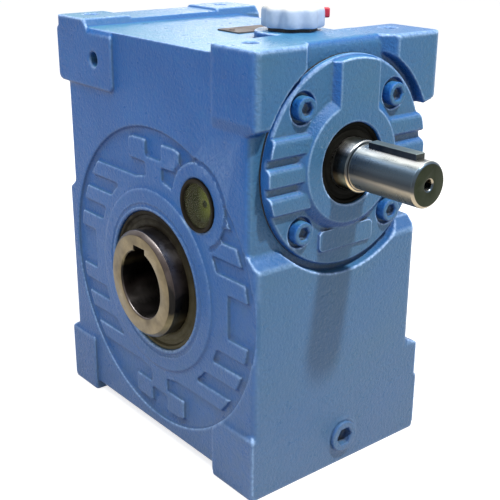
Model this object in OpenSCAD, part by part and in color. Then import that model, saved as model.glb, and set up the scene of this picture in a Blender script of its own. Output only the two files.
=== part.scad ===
// Worm gear reducer: a cast iron casing with a keyed input shaft above a
// keyed hollow output shaft.
// Frame: origin at the middle of the hollow shaft bore, X along the input
// shaft towards its keyed end, Y along the output shaft, Z up.

/* [Gear set] */
// Distance between the input and output axes
centre_distance = 100; // [98:1:104]
// Number of teeth on the worm wheel, for a single start worm
wheel_teeth = 30; // [30:1:31]
// Axial module of the worm
gear_module = 5; // [4.8:0.05:5]
// Pitch diameter of the worm
worm_pitch_d = 50; // [48:1:50]
// Length of the worm thread
worm_thread_l = 92; // [60:1:96]
// Face width of the worm wheel
wheel_face_w = 38; // [30:1:40]
// Play between worm thread and wheel tooth, measured along the worm
backlash = 1.1; // [0.8:0.1:1.4]

/* [Input shaft] */
// Diameter of the keyed shaft end
input_shaft_d = 30; // [24:1:32]
// Diameter of the front bearing and seal seat
input_seat_d = 35; // [35:1:38]
// Distance from the output axis to the shaft end
input_shaft_reach = 182; // [178:1:200]
// Width of the input key
input_key_w = 8; // [6:1:10]
// Height of the input key
input_key_h = 7; // [6:1:8]
// Length of the input key
input_key_l = 40; // [30:1:44]
// Centre hole in the shaft end, tapping diameter
centre_hole_d = 6.8; // [5:0.1:8.5]

/* [Output shaft] */
// Bore of the hollow shaft
bore_d = 50; // [40:1:54]
// Outside diameter of the hollow shaft
hollow_shaft_d = 80; // [76:1:80]
// Length of the hollow shaft
hollow_shaft_l = 188; // [180:1:200]
// Width of the keyway in the bore
bore_key_w = 14; // [10:1:16]
// Depth of the keyway beyond the bore
bore_key_depth = 3.8; // [3:0.1:5]

/* [Casing] */
// Width across the side pads
pad_w = 165; // [163:1:173]
// Height from the output axis to the top pads
top_h = 180; // [178:1:186]
// Height from the feet to the output axis
foot_h = 129; // [127:1:134]
// Distance from the output axis to the front pads
front_x = 115; // [114:1:118]
// Distance from the output axis to the rear feet
rear_x = 128; // [127:1:134]
// Thickness of the casing walls
wall_t = 12; // [8:1:13]
// Radius of the cast vertical corners
corner_r = 5; // [2:0.5:7]
// Depth of the cast ring recesses
recess_depth = 3; // [2:0.5:4]

/* [Covers] */
// Diameter of the input cover
input_cover_d = 142; // [138:1:146]
// Diameter of the side cover
side_cover_d = 200; // [198:1:204]
// Diameter of the rear cover
rear_cover_d = 98; // [94:1:100]
// Number of side cover screws
side_screws = 8; // [6:1:8]
// Thickness of the gaskets
gasket_t = 1; // [0.5:0.1:1.5]

/* [Fittings] */
// Diameter of the vent cap
vent_d = 43; // [36:1:48]
// Height of the vent cap
vent_h = 14; // [10:1:18]
// Number of finger lobes on the vent cap
vent_lobes = 8; // [6:1:10]
// Diameter of the sight glass ring
sight_d = 37; // [32:1:40]
// Diameter of the drain plug head
drain_d = 23; // [20:1:26]

/* [Hidden] */

// Overrun of every cut past the face that it opens
cut = 1;
// Gap of pieces that slide into a bore of their own body
slip = 0.05;
// Radial gap of a seal lip on its shaft
lip_gap = 0.05;
// Gap between rolling elements and their races
roll_gap = 0.35;
// Facets of full circles
circle_parts = 96;
// Steps along each rounded corner
round_steps = 4;

// Worm and wheel
lead = PI * gear_module;
worm_pitch_r = worm_pitch_d / 2;
worm_tip_r = worm_pitch_r + gear_module;
worm_root_r = worm_pitch_r - 1.2 * gear_module;
wheel_pitch_r = centre_distance - worm_pitch_r;
throat_gap = 0.25 * gear_module;
wheel_tip_r = wheel_pitch_r + 1.7 * gear_module;
rim_seat_r = wheel_pitch_r - 2.6 * gear_module;
pressure_angle = 20;
lead_angle = atan(lead / (PI * worm_pitch_d));
thread_parts = 24;

// Side faces of the casing
pad_y = pad_w / 2;
pad_step = 4;
left_step = 2.5;
left_y = pad_y - left_step;
right_step = 12.5;
right_y = pad_y - right_step;
upper_right_step = 12;
upper_right_y = right_y - upper_right_step;

// Front, rear, top and bottom faces
relief_step = 9;
relief_x = front_x - relief_step;
shelf_z = 40;
block_z = 131;
block_back_x = 69;
rear_pad_step = 4;
rear_low_x = rear_x - rear_pad_step;
rear_high_x = 113;
rear_top_pad_x = 124;
rear_step_z = 46;
deck_step = 6;
deck_z = top_h - deck_step;
rail_front_x = 83;
rail_foot_x = 79;
side_pad_front_x = 46;
belly_step = 8;
belly_z = foot_h - belly_step;
foot_front_x = 69;
foot_rear_x = 92;
side_pad_z = 78;
right_pad_z = 50;
foot_corner_r = corner_r / 2;
bridge_half_w = 41;
bridge_low_w = 32;
bridge_edge_r = 6.5;

// Bearing places on the output shaft, a deep groove ball bearing each side
ob_in_r = hollow_shaft_d / 2;
ob_out_r = 62.5;
ob_w = 22;
ob_inset = 15.5;
ob_end = pad_y - ob_inset;
ob_start = ob_end - ob_w;
ob_mid_r = (ob_in_r + ob_out_r) / 2;
ob_ball_r = 6.4;
ob_balls = 13;
ob_shoulder_r = 57;
ob_race_t = 6.8;
ob_cage_half_t = 2;
ob_cage_half_w = 8.2;
seal_out_r = 52.5;
seal_w = 10;
seal_inset = 2;
boss_r = 76;

// Bearing places on the worm shaft, a taper roller bearing each end
fb_in_r = input_seat_d / 2;
fb_out_r = 36;
fb_w = 18;
fb_start = 83;
fb_end = fb_start + fb_w;
rb_in_r = 15;
rb_out_r = 31;
rb_w = 17;
rb_start = 84;
rb_end = rb_start + rb_w;
rollers = 15;
fb_shoulder_h = 4;
rb_shoulder_h = 3.5;

// Taper roller bearings: shares of the ring section for the roller line and
// radius at the wide face and their fall to the slim face, and shares of the
// width for the rings and rollers
track_mid_share = 0.58;
track_fall_share = 0.14;
roller_half_share = 0.21;
roller_fall_share = 0.05;
cup_w_share = 0.82;
cone_back_share = 0.08;
cone_rib_share = 0.16;
cone_front_share = 0.9;
roller_start_share = 0.2;
roller_end_share = 0.74;

// Shaft seals: shares of the width for the lip and the hollow back
lip_top_share = 0.8;
lip_low_share = 0.6;
seal_back_share = 0.35;

// Input cover
gasket_x = relief_x;
cover_x = gasket_x + gasket_t;
flange_t = 5;
flange_x = cover_x + flange_t;
hub_x = 117.5;
hub_face_r = 40;
hub_base_r = 47;
input_cover_r = input_cover_d / 2;
relief_gap = 5;
relief_r = input_cover_r + relief_gap;
front_boss_step = 2;
front_boss_r = relief_r - front_boss_step;
input_screw_pitch = 40.8;
input_screw_seat_x = 108.5;
pocket_r = 10.5;
in_seal_out_r = 27.5;
in_seal_w = 8;
in_seal_inset = 2;
rib_shelf = 4;
cover_rib_w = 13;
cover_rib_pitch = 18.5;
cover_rib_start = 42;
top_rib_left = 13;
top_rib_left_foot = 20;
top_rib_right = 22;
top_rib_right_foot = 24;
top_rib_gap = 1.75;
key_block_w = 50;
key_block_h = 15;
key_block_z = 51;

// Ring recess on the side faces
recess_in_r = 78;
recess_out_r = 113;
rib_out_r = 107;
hub_step_r = 69;
hub_lip_r = 57.5;
hub_step_t = 2;
rib_low = 16;
rib_high = 28.5;
rib_pitch = 23;
mid_block_l = 85;
column_w = 20;
column_h = 92;
arm_half_w = 31.5;
arm_low = 87;
arm_high = 104;

// Fasteners
m12_hole_r = 5.1;
m12_depth = 24;
m10_r = 5;
m10_head_r = 8;
m10_head_h = 8;
m10_socket = 8;
m10_l = 30;
m6_r = 3;
m6_head_r = 5;
m6_head_h = 6;
m6_socket = 5;
m6_l = 20;
hole_gap = 0.5;
hole_chamfer = 1.2;
top_hole_x_front = 85;
top_hole_x_rear = 106;
foot_hole_x_front = 92;
foot_hole_x_rear = 110;
hole_row_inset = 21;
hole_row_y = pad_y - hole_row_inset;
side_hole_x = 71;
side_hole_z = 152;
side_screw_r = 93;
side_rim_w = 14;
side_flange_t = 5;
side_hub_draft = 3;
side_spigot_r = side_cover_d / 2 - side_rim_w;
side_flange_y = right_y + gasket_t + side_flange_t;
rear_screw_r = 41.5;
rear_relief_gap = 2;
rear_relief_r = rear_cover_d / 2 + rear_relief_gap;

// Input shaft end
input_step_x = 128;
key_end_gap = 8;
key_proud = 3.5;
key_start_x = input_shaft_reach - key_end_gap - input_key_l;
key_base_z = centre_distance + input_shaft_d / 2 + key_proud - input_key_h;
centre_hole_depth = 22;

// Sight glass, drain plug and vent
sight_x = 52.2;
sight_z = 70.2;
sight_r = sight_d / 2;
sight_boss_r = 29.5;
sight_bore_r = 14;
sight_stem_r = sight_bore_r - slip;
sight_ring_t = 3;
lens_share = 0.84;
lens_r = sight_r * lens_share;
lens_back_share = 0.6;
lens_back_y = left_y - sight_ring_t * lens_back_share;
reflector_inset = 5.5;
reflector_y = left_y - reflector_inset;
reflector_t = 1.2;
drain_y = 3;
drain_z = 107;
drain_bore_r = 8.3;
drain_socket = 10;
drain_boss_w = 3;
vent_x = 55;
vent_bore_r = 10;
vent_boss_r = 26;
vent_neck_r = 17;
vent_neck_h = 2.5;
vent_lobe_depth = 1.4;
vent_edge_share = 0.14;
vent_top_share = 0.9;
tab_rise_share = 0.38;
tab_angle = 50;
tab_w = 5;
tab_h = 7;
tab_l = 12;
tab_out = 3;

// Rating plate
plate_l = 25;
plate_w = 60;
plate_t = 1;
plate_x = 14;
plate_y = 16;
rivet_r = 1.5;
rivet_head_r = 2.6;
rivet_inset = 4;

// Hollow shaft and wheel hub
collar_r = 44;
collar_w = 15;
hub_half_w = 30;
hub_bore_r = 42;
hub_out_r = 55;
web_half_w = 11;
hub_flange_t = 4;
shaft_chamfer = 1.5;
hollow_chamfer = 3;
wheel_key_w = 14;
wheel_key_h = 9;
key_seat_depth = 5.5;

// Unit vector along v
function unit(v) = v / norm(v);

// Points of the arc that rounds corner b of a path from a to c with radius b[2]
function corner_arc(a, b, c) =
    let (p = [b[0], b[1]], u = unit([a[0], a[1]] - p), v = unit([c[0], c[1]] - p))
    let (half = acos(u * v) / 2, m = unit(u + v), centre = p + m * b[2] / sin(half))
    let (first = p + u * b[2] / tan(half) - centre, last = p + v * b[2] / tan(half) - centre)
    let (a0 = atan2(first[1], first[0]), turn = atan2(last[1], last[0]) - a0)
    let (sweep = turn > 180 ? turn - 360 : turn < -180 ? turn + 360 : turn)
    [for (i = [0:round_steps]) let (angle = a0 + sweep * i / round_steps)
        centre + b[2] * [cos(angle), sin(angle)]];

// Outline through corners [x, y, radius], each rounded by its own radius
function rounded(corners) =
    let (n = len(corners))
    [for (i = [0:n - 1]) let (b = corners[i])
        each b[2] == 0 ? [[b[0], b[1]]]
            : corner_arc(corners[(i + n - 1) % n], b, corners[(i + 1) % n])];

// Corners of a rectangle between two points with one radius
function box_corners(x0, y0, x1, y1, r) = [[x0, y0, r], [x1, y0, r], [x1, y1, r], [x0, y1, r]];

// Flat outline in X and Z carried along Y
module along_y(y0, y1) {
    translate([0, y1, 0]) rotate([90, 0, 0]) linear_extrude(y1 - y0) children();
}

// Flat outline in Y and Z carried along X
module along_x(x0, x1) {
    translate([x0, 0, 0]) rotate([90, 0, 90]) linear_extrude(x1 - x0) children();
}

// Flat outline in X and Y carried along Z
module along_z(z0, z1) {
    translate([0, 0, z0]) linear_extrude(z1 - z0) children();
}

// Round bar along Y
module bar_y(r, y0, y1, x = 0, z = 0) {
    translate([x, y0, z]) rotate([-90, 0, 0]) cylinder(h = y1 - y0, r = r, $fn = circle_parts);
}

// Cone along Y
module cone_y(r0, r1, y0, y1, x = 0, z = 0) {
    translate([x, y0, z]) rotate([-90, 0, 0]) cylinder(h = y1 - y0, r1 = r0, r2 = r1, $fn = circle_parts);
}

// Round bar along X, on the input axis unless given a place
module bar_x(r, x0, x1, y = 0, z = centre_distance) {
    translate([x0, y, z]) rotate([0, 90, 0]) cylinder(h = x1 - x0, r = r, $fn = circle_parts);
}

// Cone along X on the input axis
module cone_x(r0, r1, x0, x1) {
    translate([x0, 0, centre_distance]) rotate([0, 90, 0])
        cylinder(h = x1 - x0, r1 = r0, r2 = r1, $fn = circle_parts);
}

// Revolved outline of [radius, place along Y] points about the output axis
module turned_y(points) {
    rotate([-90, 0, 0]) rotate_extrude($fn = circle_parts) polygon(points);
}

// Revolved outline of [radius, place along X] points about the input axis
module turned_x(points) {
    translate([0, 0, centre_distance]) rotate([0, 90, 0]) rotate_extrude($fn = circle_parts) polygon(points);
}

// Copies of the children turned about the output axis
module ring_y(count, first = 0) {
    for (i = [0:count - 1]) rotate([0, first + i * 360 / count, 0]) children();
}

// Copies of the children turned about the input axis
module ring_x(count, first = 0) {
    translate([0, 0, centre_distance])
        for (i = [0:count - 1]) rotate([first + i * 360 / count, 0, 0]) children();
}

// Tapped hole with a chamfered mouth, drilled down from z = 0
module tapped_hole(r, depth) {
    translate([0, 0, -depth]) cylinder(h = depth + cut, r = r, $fn = 32);
    translate([0, 0, -hole_chamfer])
        cylinder(h = hole_chamfer + cut, r1 = r, r2 = r + hole_chamfer + cut, $fn = 32);
}

// Socket head cap screw, its head standing up from z = 0
module cap_screw(r, head_r, head_h, socket, length) {
    edge = head_h / 12;
    difference() {
        union() {
            cylinder(h = head_h - edge, r = head_r, $fn = 48);
            translate([0, 0, head_h - edge])
                cylinder(h = edge, r1 = head_r, r2 = head_r - edge, $fn = 48);
            translate([0, 0, -length]) cylinder(h = length + edge, r = r - slip, $fn = 32);
        }
        translate([0, 0, head_h / 2]) cylinder(h = head_h, r = socket / sqrt(3), $fn = 6);
    }
}

// Raised rib pattern of the ring recess, between the hub and radius r
module rib_outline(r) {
    intersection() {
        circle(r = r, $fn = circle_parts);
        union() {
            square([2 * mid_block_l, 2 * rib_high], center = true);
            square([column_w, 2 * column_h], center = true);
            for (side = [-1, 1]) {
                for (k = [0:2])
                    translate([0, side * ((rib_low + rib_high) / 2 + k * rib_pitch)])
                        square([2 * rib_out_r, rib_high - rib_low], center = true);
                for (end = [-1, 1])
                    translate([end * (column_w / 2 + arm_half_w) / 2, side * (arm_low + arm_high) / 2])
                        square([arm_half_w - column_w / 2, arm_high - arm_low], center = true);
            }
        }
    }
}

// The cut that leaves the ribs standing, to be carried from y0 to y1
module ring_recess(out_r, rib_r, y0, y1) {
    difference() {
        bar_y(out_r, y0, y1);
        bar_y(recess_in_r, y0 - cut, y1 + cut);
        along_y(y0 - cut, y1 + cut) rib_outline(rib_r);
    }
}

// Main walls of the casing: wide below the shelf, narrow beside the worm
module casing_walls() {
    profile = [[-rear_low_x, -belly_z, corner_r], [front_x, -belly_z, corner_r],
        [front_x, shelf_z, corner_r], [relief_x, shelf_z + relief_step, corner_r],
        [relief_x, deck_z, corner_r], [-rear_high_x, deck_z, corner_r],
        [-rear_high_x, rear_step_z + pad_step, corner_r / 2],
        [-rear_low_x, rear_step_z - pad_step, corner_r]];
    intersection() {
        along_y(-pad_y, pad_y) polygon(rounded(profile));
        union() {
            along_z(-foot_h, shelf_z + relief_step)
                polygon(rounded(box_corners(-rear_low_x, -left_y, front_x, right_y, corner_r)));
            along_z(-foot_h, top_h)
                polygon(rounded(box_corners(-rear_low_x, -left_y, relief_x, upper_right_y, corner_r)));
        }
    }
    bar_y(side_cover_d / 2 + pad_step / 2, 0, right_y);
    bar_x(front_boss_r, relief_x - 2 * wall_t, relief_x);
}

// Rail across the top front with the two corner blocks
module front_top_block() {
    draft = pad_step / 2;
    intersection() {
        along_z(block_z - wall_t, top_h)
            polygon(rounded(box_corners(block_back_x, -pad_y, front_x, pad_y, corner_r)));
        along_x(block_back_x, front_x + cut)
            polygon(rounded([[-left_y, block_z - pad_step, 0], [-pad_y, block_z + pad_step, draft],
                [-pad_y, top_h, draft], [pad_y, top_h, draft], [pad_y, block_z + pad_step, draft],
                [upper_right_y, block_z - pad_step, 0]]));
        difference() {
            union() {
                corner_block(-1);
                corner_block(1);
                along_y(-bridge_half_w - cut, bridge_half_w + cut)
                    polygon(rounded([[block_back_x, block_z - wall_t, 0], [relief_x, block_z - wall_t, 0],
                        [relief_x, top_h, bridge_edge_r], [block_back_x, top_h, 0]]));
            }
            bar_x(relief_r, relief_x, front_x + cut);
        }
    }
}

// Corner block of the front rail, its inner wall drafted
module corner_block(side) {
    mirror([0, side > 0 ? 0 : 1, 0]) intersection() {
        along_y(bridge_low_w, pad_y) polygon(block_side());
        along_z(block_z - 2 * wall_t, top_h + cut)
            polygon([[block_back_x - cut, bridge_low_w - cut], [relief_x, bridge_low_w],
                [front_x + cut, bridge_half_w + cut], [front_x + cut, pad_y + cut],
                [block_back_x - cut, pad_y + cut]]);
    }
}

// Side outline of a front corner block
function block_side() = rounded([[block_back_x, block_z - wall_t, 0], [relief_x, block_z - wall_t, 0],
    [relief_x, block_z - pad_step, 0], [front_x, block_z, corner_r / 2],
    [front_x, top_h, corner_r / 2], [block_back_x, top_h, corner_r / 4]]);

// Rail across the top rear, falling to the deck, with a raised pad at each corner
module rear_top_rail() {
    draft = pad_step / 2;
    rail = [[-rear_top_pad_x, block_z + pad_step, corner_r], [-rear_top_pad_x, top_h - draft, corner_r / 2],
        [-rail_front_x, top_h - draft, corner_r / 4], [-rail_foot_x, deck_z, 0],
        [-rail_foot_x, block_z + pad_step, 0]];
    pad = [[-rear_top_pad_x, block_z + pad_step, corner_r], [-rear_top_pad_x, top_h, corner_r / 2],
        [-rail_front_x - draft / 2, top_h, corner_r / 4], [-rail_foot_x, deck_z, 0],
        [-rail_foot_x, block_z + pad_step, 0]];
    intersection() {
        union() {
            along_y(-pad_y, pad_y) polygon(rounded(rail));
            along_y(-pad_y, -bridge_half_w) polygon(rounded(pad));
            along_y(bridge_half_w, pad_y) polygon(rounded(pad));
        }
        along_z(block_z, top_h + cut)
            polygon(rounded(box_corners(-rear_top_pad_x, -pad_y, 0, pad_y, corner_r)));
    }
}

// Square pad on a side face, its edges drafted out from the wall at y
module side_pad(x0, x1, z0, z1, y, side, face_y = pad_y) {
    rise = face_y - y + wall_t;
    translate([0, side * (y - wall_t), 0]) mirror([0, side > 0 ? 0 : 1, 0])
        intersection() {
            along_x(x0, x1) polygon([[0, z0], [rise, z0], [rise, z1 - pad_step], [wall_t, z1], [0, z1]]);
            along_y(0, rise) polygon(rounded(box_corners(x0, z0, x1, z1, corner_r)));
        }
}

// Foot rail across the underside
module foot_rail(x0, x1) {
    along_z(-foot_h, -belly_z + wall_t)
        polygon(rounded(box_corners(x0, -pad_y, x1, pad_y, foot_corner_r)));
}

// The whole casting before anything is machined
module casting() {
    casing_walls();
    front_top_block();
    rear_top_rail();
    foot_rail(foot_front_x, front_x);
    foot_rail(-rear_x, -foot_rear_x);
    difference() {
        union() {
            side_pad(foot_front_x, front_x, -foot_h, -side_pad_z, left_y, -1);
            side_pad(-rear_x, -foot_rear_x, -foot_h, -side_pad_z, left_y, -1);
            side_pad(foot_front_x, front_x, -foot_h, -side_pad_z, right_y, 1);
            side_pad(-rear_x, -foot_rear_x, -foot_h, -side_pad_z, right_y, 1);
            side_pad(foot_front_x, front_x, -foot_h, -right_pad_z, right_y, 1, left_y);
            side_pad(-rear_low_x, -foot_rear_x, -foot_h, -right_pad_z, right_y, 1, left_y);
        }
        bar_y(recess_out_r, -pad_y - cut, -left_y);
        bar_y(side_cover_d / 2 + pad_step / 2, right_y, pad_y + cut);
    }
    side_pad(-rear_top_pad_x, -side_pad_front_x, block_z, deck_z, left_y, -1);
    side_pad(-rear_top_pad_x, -side_pad_front_x, block_z, deck_z, upper_right_y, 1);
    bar_y(hub_step_r, -left_y - hub_step_t, 0);
    cone_y(hub_lip_r, hub_lip_r + hub_step_t, -pad_y, -left_y - hub_step_t + cut / 2);
    translate([vent_x, 0, deck_z - cut]) cylinder(h = deck_step + cut, r = vent_boss_r, $fn = circle_parts);
    bar_x(drain_d / 2 + drain_boss_w, front_x - wall_t, front_x + cut / 2, drain_y, -drain_z);
}

// Hollow space for the wheel, the worm and the oil
module casting_space() {
    inner_y = left_y - 2 * wall_t;
    low = box_corners(-rear_low_x + wall_t, -belly_z + wall_t, front_x - wall_t, shelf_z, 3 * corner_r);
    high = box_corners(-rear_high_x + wall_t, 0, relief_x - wall_t, deck_z - wall_t, 3 * corner_r);
    bar_y(side_spigot_r, -inner_y, pad_y + cut);
    along_y(-inner_y, upper_right_y - wall_t) polygon(rounded(low));
    along_y(-inner_y, upper_right_y - wall_t) polygon(rounded(high));
}

// Bosses that reach into the hollow space to carry the bearings
module inner_bosses() {
    bar_y(boss_r, -left_y, -ob_start + cut);
    bar_x(fb_out_r + wall_t, fb_start - wall_t / 2, relief_x);
    bar_x(rb_out_r + 3 * wall_t / 2, -rear_high_x, -rb_start + wall_t / 2);
    for (y = [-1, 1], z = [-1, 1])
        bar_x(m10_r + wall_t / 2, relief_x - m10_l - wall_t / 2, relief_x,
            y * input_screw_pitch, centre_distance + z * input_screw_pitch);
}

module housing() {
    color("steelblue")
    difference() {
        union() {
            difference() {
                casting();
                casting_space();
            }
            inner_bosses();
        }
        difference() {
            ring_recess(recess_out_r, rib_out_r, -pad_y - cut, -left_y + recess_depth);
            bar_y(sight_boss_r, -pad_y - 2 * cut, 0, sight_x, sight_z);
        }
        bar_x(relief_r, relief_x, front_x + cut);
        bar_x(rear_relief_r, -rear_x - cut, -rear_high_x);
        bar_y(ob_out_r, -ob_end, 0);
        bar_y(ob_shoulder_r, -pad_y + seal_inset + seal_w, 0);
        bar_y(seal_out_r, -pad_y - cut, 0);
        bar_x(fb_out_r, 0, relief_x + cut);
        bar_x(rb_out_r, -rear_high_x - cut, 0);
        bar_y(sight_bore_r, -pad_y - cut, 0, sight_x, sight_z);
        bar_y(sight_r + slip, -pad_y - cut, -left_y + sight_ring_t, sight_x, sight_z);
        bar_x(drain_bore_r, front_x - 2 * wall_t, front_x + 2 * cut, drain_y, -drain_z);
        translate([vent_x, 0, deck_z - 2 * wall_t]) cylinder(h = 3 * wall_t, r = vent_bore_r, $fn = 48);
        for (y = [-1, 1], z = [-1, 1])
            translate([relief_x, y * input_screw_pitch, centre_distance + z * input_screw_pitch])
                rotate([0, 90, 0]) tapped_hole(m10_r, m10_l);
        ring_y(side_screws, 360 / side_screws / 2)
            translate([side_screw_r, right_y, 0]) rotate([-90, 0, 0]) tapped_hole(m6_r, m6_l);
        ring_x(4, 45) translate([-rear_high_x, 0, rear_screw_r]) rotate([0, -90, 0]) tapped_hole(m6_r, m6_l);
        for (x = [-top_hole_x_rear, top_hole_x_front], y = [-hole_row_y, hole_row_y])
            translate([x, y, top_h]) tapped_hole(m12_hole_r, m12_depth);
        for (x = [-foot_hole_x_rear, foot_hole_x_front], y = [-hole_row_y, hole_row_y])
            translate([x, y, -foot_h]) rotate([180, 0, 0]) tapped_hole(m12_hole_r, m12_depth);
        translate([-side_hole_x, -pad_y, side_hole_z]) rotate([90, 0, 0]) tapped_hole(m12_hole_r, m12_depth);
        translate([-side_hole_x, pad_y, side_hole_z]) rotate([-90, 0, 0]) tapped_hole(m12_hole_r, m12_depth);
    }
}

module side_cover() {
    spigot_r = side_spigot_r - slip;
    flange_y = right_y + gasket_t;
    color("steelblue")
    difference() {
        union() {
            bar_y(side_cover_d / 2, flange_y, side_flange_y);
            bar_y(spigot_r, flange_y - wall_t, flange_y + cut);
            bar_y(boss_r, ob_start, flange_y);
            cone_y(recess_in_r, hub_step_r + side_hub_draft, side_flange_y - cut / 2, pad_y - 2 * hub_step_t);
            bar_y(hub_step_r, flange_y, pad_y - hub_step_t / 2);
            cone_y(hub_lip_r + hub_step_t, hub_lip_r, pad_y - hub_step_t, pad_y);
        }
        bar_y(ob_out_r, ob_start - cut, ob_end);
        bar_y(ob_shoulder_r, ob_start, pad_y - seal_inset - seal_w);
        bar_y(seal_out_r, ob_start, pad_y + cut);
        ring_y(side_screws, 360 / side_screws / 2)
            bar_y(m6_r + hole_gap, flange_y - cut, pad_y + cut, side_screw_r);
    }
}

module side_cover_gasket() {
    color("black")
    difference() {
        bar_y(side_cover_d / 2 - hole_gap, right_y, right_y + gasket_t);
        bar_y(side_spigot_r + hole_gap, right_y - cut, right_y + gasket_t + cut);
        ring_y(side_screws, 360 / side_screws / 2)
            bar_y(m6_r + hole_gap, right_y - cut, right_y + gasket_t + cut, side_screw_r);
    }
}

module side_cover_screws() {
    color("steelblue")
    ring_y(side_screws, 360 / side_screws / 2)
        translate([side_screw_r, side_flange_y, 0]) rotate([-90, 0, 0])
            cap_screw(m6_r, m6_head_r, m6_head_h, m6_socket, m6_l);
}

// Rounded rib on the input cover, lying across the flange
module cover_rib(z, side) {
    rise = flange_x - cover_x + rib_shelf;
    translate([cover_x, 0, centre_distance + z])
        mirror([0, side > 0 ? 0 : 1, 0])
            along_y(cover_rib_start - wall_t / 2, input_cover_r)
                polygon(rounded([[0, -cover_rib_w / 2, 0], [rise, -cover_rib_w / 2, rib_shelf / 2],
                    [rise, cover_rib_w / 2, rib_shelf], [0, cover_rib_w / 2, 0]]));
}

module input_cover() {
    color("steelblue")
    difference() {
        union() {
            bar_x(input_cover_r, cover_x, flange_x - flange_t / 4);
            cone_x(input_cover_r, input_cover_r - flange_t / 4, flange_x - flange_t / 4, flange_x);
            cone_x(hub_base_r, hub_face_r + cut / 2, flange_x - cut, hub_x - cut / 2);
            cone_x(hub_face_r + cut / 2, hub_face_r, hub_x - cut / 2, hub_x);
            bar_x(fb_out_r - slip, fb_end, cover_x + cut);
            intersection() {
                bar_x(input_cover_r, cover_x, hub_x);
                union() {
                    for (side = [-1, 1], k = [-1:1]) cover_rib(k * cover_rib_pitch, side);
                    cover_top_rib();
                    cover_key_block();
                }
            }
        }
        bar_x(in_seal_out_r, hub_x - in_seal_inset - in_seal_w, hub_x + cut);
        bar_x((fb_in_r + fb_out_r) / 2, fb_end - cut, hub_x);
        for (y = [-1, 1], z = [-1, 1])
            translate([0, y * input_screw_pitch, z * input_screw_pitch]) {
                bar_x(m10_r + hole_gap, cover_x - cut, hub_x);
                bar_x(pocket_r, input_screw_seat_x, hub_x + cut);
            }
    }
}

// Wide drafted rib above the input hub, flush with the hub face
module cover_top_rib() {
    rise = hub_x - cover_x;
    intersection() {
        bar_x(input_cover_r - top_rib_gap, cover_x, hub_x);
        translate([cover_x, 0, centre_distance]) linear_extrude(input_cover_r)
            polygon([[0, -top_rib_left_foot], [rise, -top_rib_left], [rise, top_rib_right],
                [0, top_rib_right_foot]]);
    }
}

// Low block below the input hub
module cover_key_block() {
    translate([cover_x, 0, centre_distance - key_block_z])
        along_x(0, flange_x - cover_x + rib_shelf / 2)
            polygon(rounded(box_corners(-key_block_w / 2, -key_block_h / 2, key_block_w / 2, key_block_h / 2,
                rib_shelf)));
}

module input_cover_gasket() {
    color("black")
    difference() {
        bar_x(input_cover_r, gasket_x, cover_x);
        bar_x(fb_out_r + hole_gap, gasket_x - cut, cover_x + cut);
        for (y = [-1, 1], z = [-1, 1])
            translate([0, y * input_screw_pitch, z * input_screw_pitch])
                bar_x(m10_r + hole_gap, gasket_x - cut, cover_x + cut);
    }
}

module input_cover_screws() {
    color("steelblue")
    for (y = [-1, 1], z = [-1, 1])
        translate([input_screw_seat_x, y * input_screw_pitch, centre_distance + z * input_screw_pitch])
            rotate([0, 90, 0]) cap_screw(m10_r, m10_head_r, m10_head_h, m10_socket, m10_l);
}

module rear_cover() {
    plate_end = -rear_high_x - gasket_t;
    plate_out = -rear_high_x - rear_pad_step - rear_pad_step;
    color("steelblue")
    difference() {
        union() {
            bar_x(rear_cover_d / 2, plate_out, plate_end);
            bar_x(rb_out_r - slip, plate_end - cut, -rb_end);
        }
        bar_x((rb_in_r + rb_out_r) / 2, -rb_end - wall_t, -rb_end + cut);
        bar_x(rear_cover_d / 4, plate_out - cut, plate_out + recess_depth / 2);
        ring_x(4, 45) translate([0, 0, rear_screw_r]) rotate([0, 90, 0])
            translate([0, 0, plate_out - cut]) cylinder(h = -plate_out, r = m6_r + hole_gap, $fn = 32);
    }
}

module rear_cover_gasket() {
    color("black")
    difference() {
        bar_x(rear_cover_d / 2 - hole_gap, -rear_high_x - gasket_t, -rear_high_x);
        bar_x(rb_out_r + hole_gap, -rear_high_x - gasket_t - cut, -rear_high_x + cut);
        ring_x(4, 45) translate([-rear_high_x - wall_t, 0, rear_screw_r]) rotate([0, 90, 0])
            cylinder(h = 2 * wall_t, r = m6_r + hole_gap, $fn = 32);
    }
}

module rear_cover_screws() {
    color("steelblue")
    ring_x(4, 45) translate([-rear_high_x - 2 * rear_pad_step, 0, rear_screw_r]) rotate([0, -90, 0])
        cap_screw(m6_r, m6_head_r, m6_head_h, m6_socket, m6_l);
}

// Radial shaft seal with a garter lip: shell, hollow back and lip
module seal(in_r, out_r, width) {
    wall = (out_r - in_r) / 6;
    rotate_extrude($fn = circle_parts)
        polygon([[out_r - slip, 0], [out_r - slip, width], [in_r + wall, width],
            [in_r + lip_gap, width * lip_top_share], [in_r + lip_gap, width * lip_low_share],
            [in_r + 2 * wall, width * seal_back_share], [out_r - 2 * wall, width * seal_back_share],
            [out_r - wall, 0]]);
}

module input_seal() {
    color("black")
    translate([hub_x - in_seal_inset - in_seal_w, 0, centre_distance]) rotate([0, 90, 0])
        seal(input_seat_d / 2, in_seal_out_r, in_seal_w);
}

module output_seal(side) {
    mirror([0, side > 0 ? 0 : 1, 0])
        translate([0, pad_y - seal_inset - seal_w, 0]) rotate([-90, 0, 0])
            seal(hollow_shaft_d / 2, seal_out_r, seal_w);
}

module output_seal_left() {
    color("black") output_seal(-1);
}

module output_seal_right() {
    color("black") output_seal(1);
}

// Ring of a deep groove ball bearing between r0 and r1, with its ball track
module ball_ring(r0, r1) {
    difference() {
        turned_y([[r0, ob_start], [r1, ob_start], [r1, ob_end], [r0, ob_end]]);
        rotate([-90, 0, 0]) translate([0, 0, (ob_start + ob_end) / 2])
            rotate_extrude($fn = circle_parts)
                translate([ob_mid_r, 0]) circle(r = ob_ball_r + roll_gap, $fn = 32);
    }
}

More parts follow.
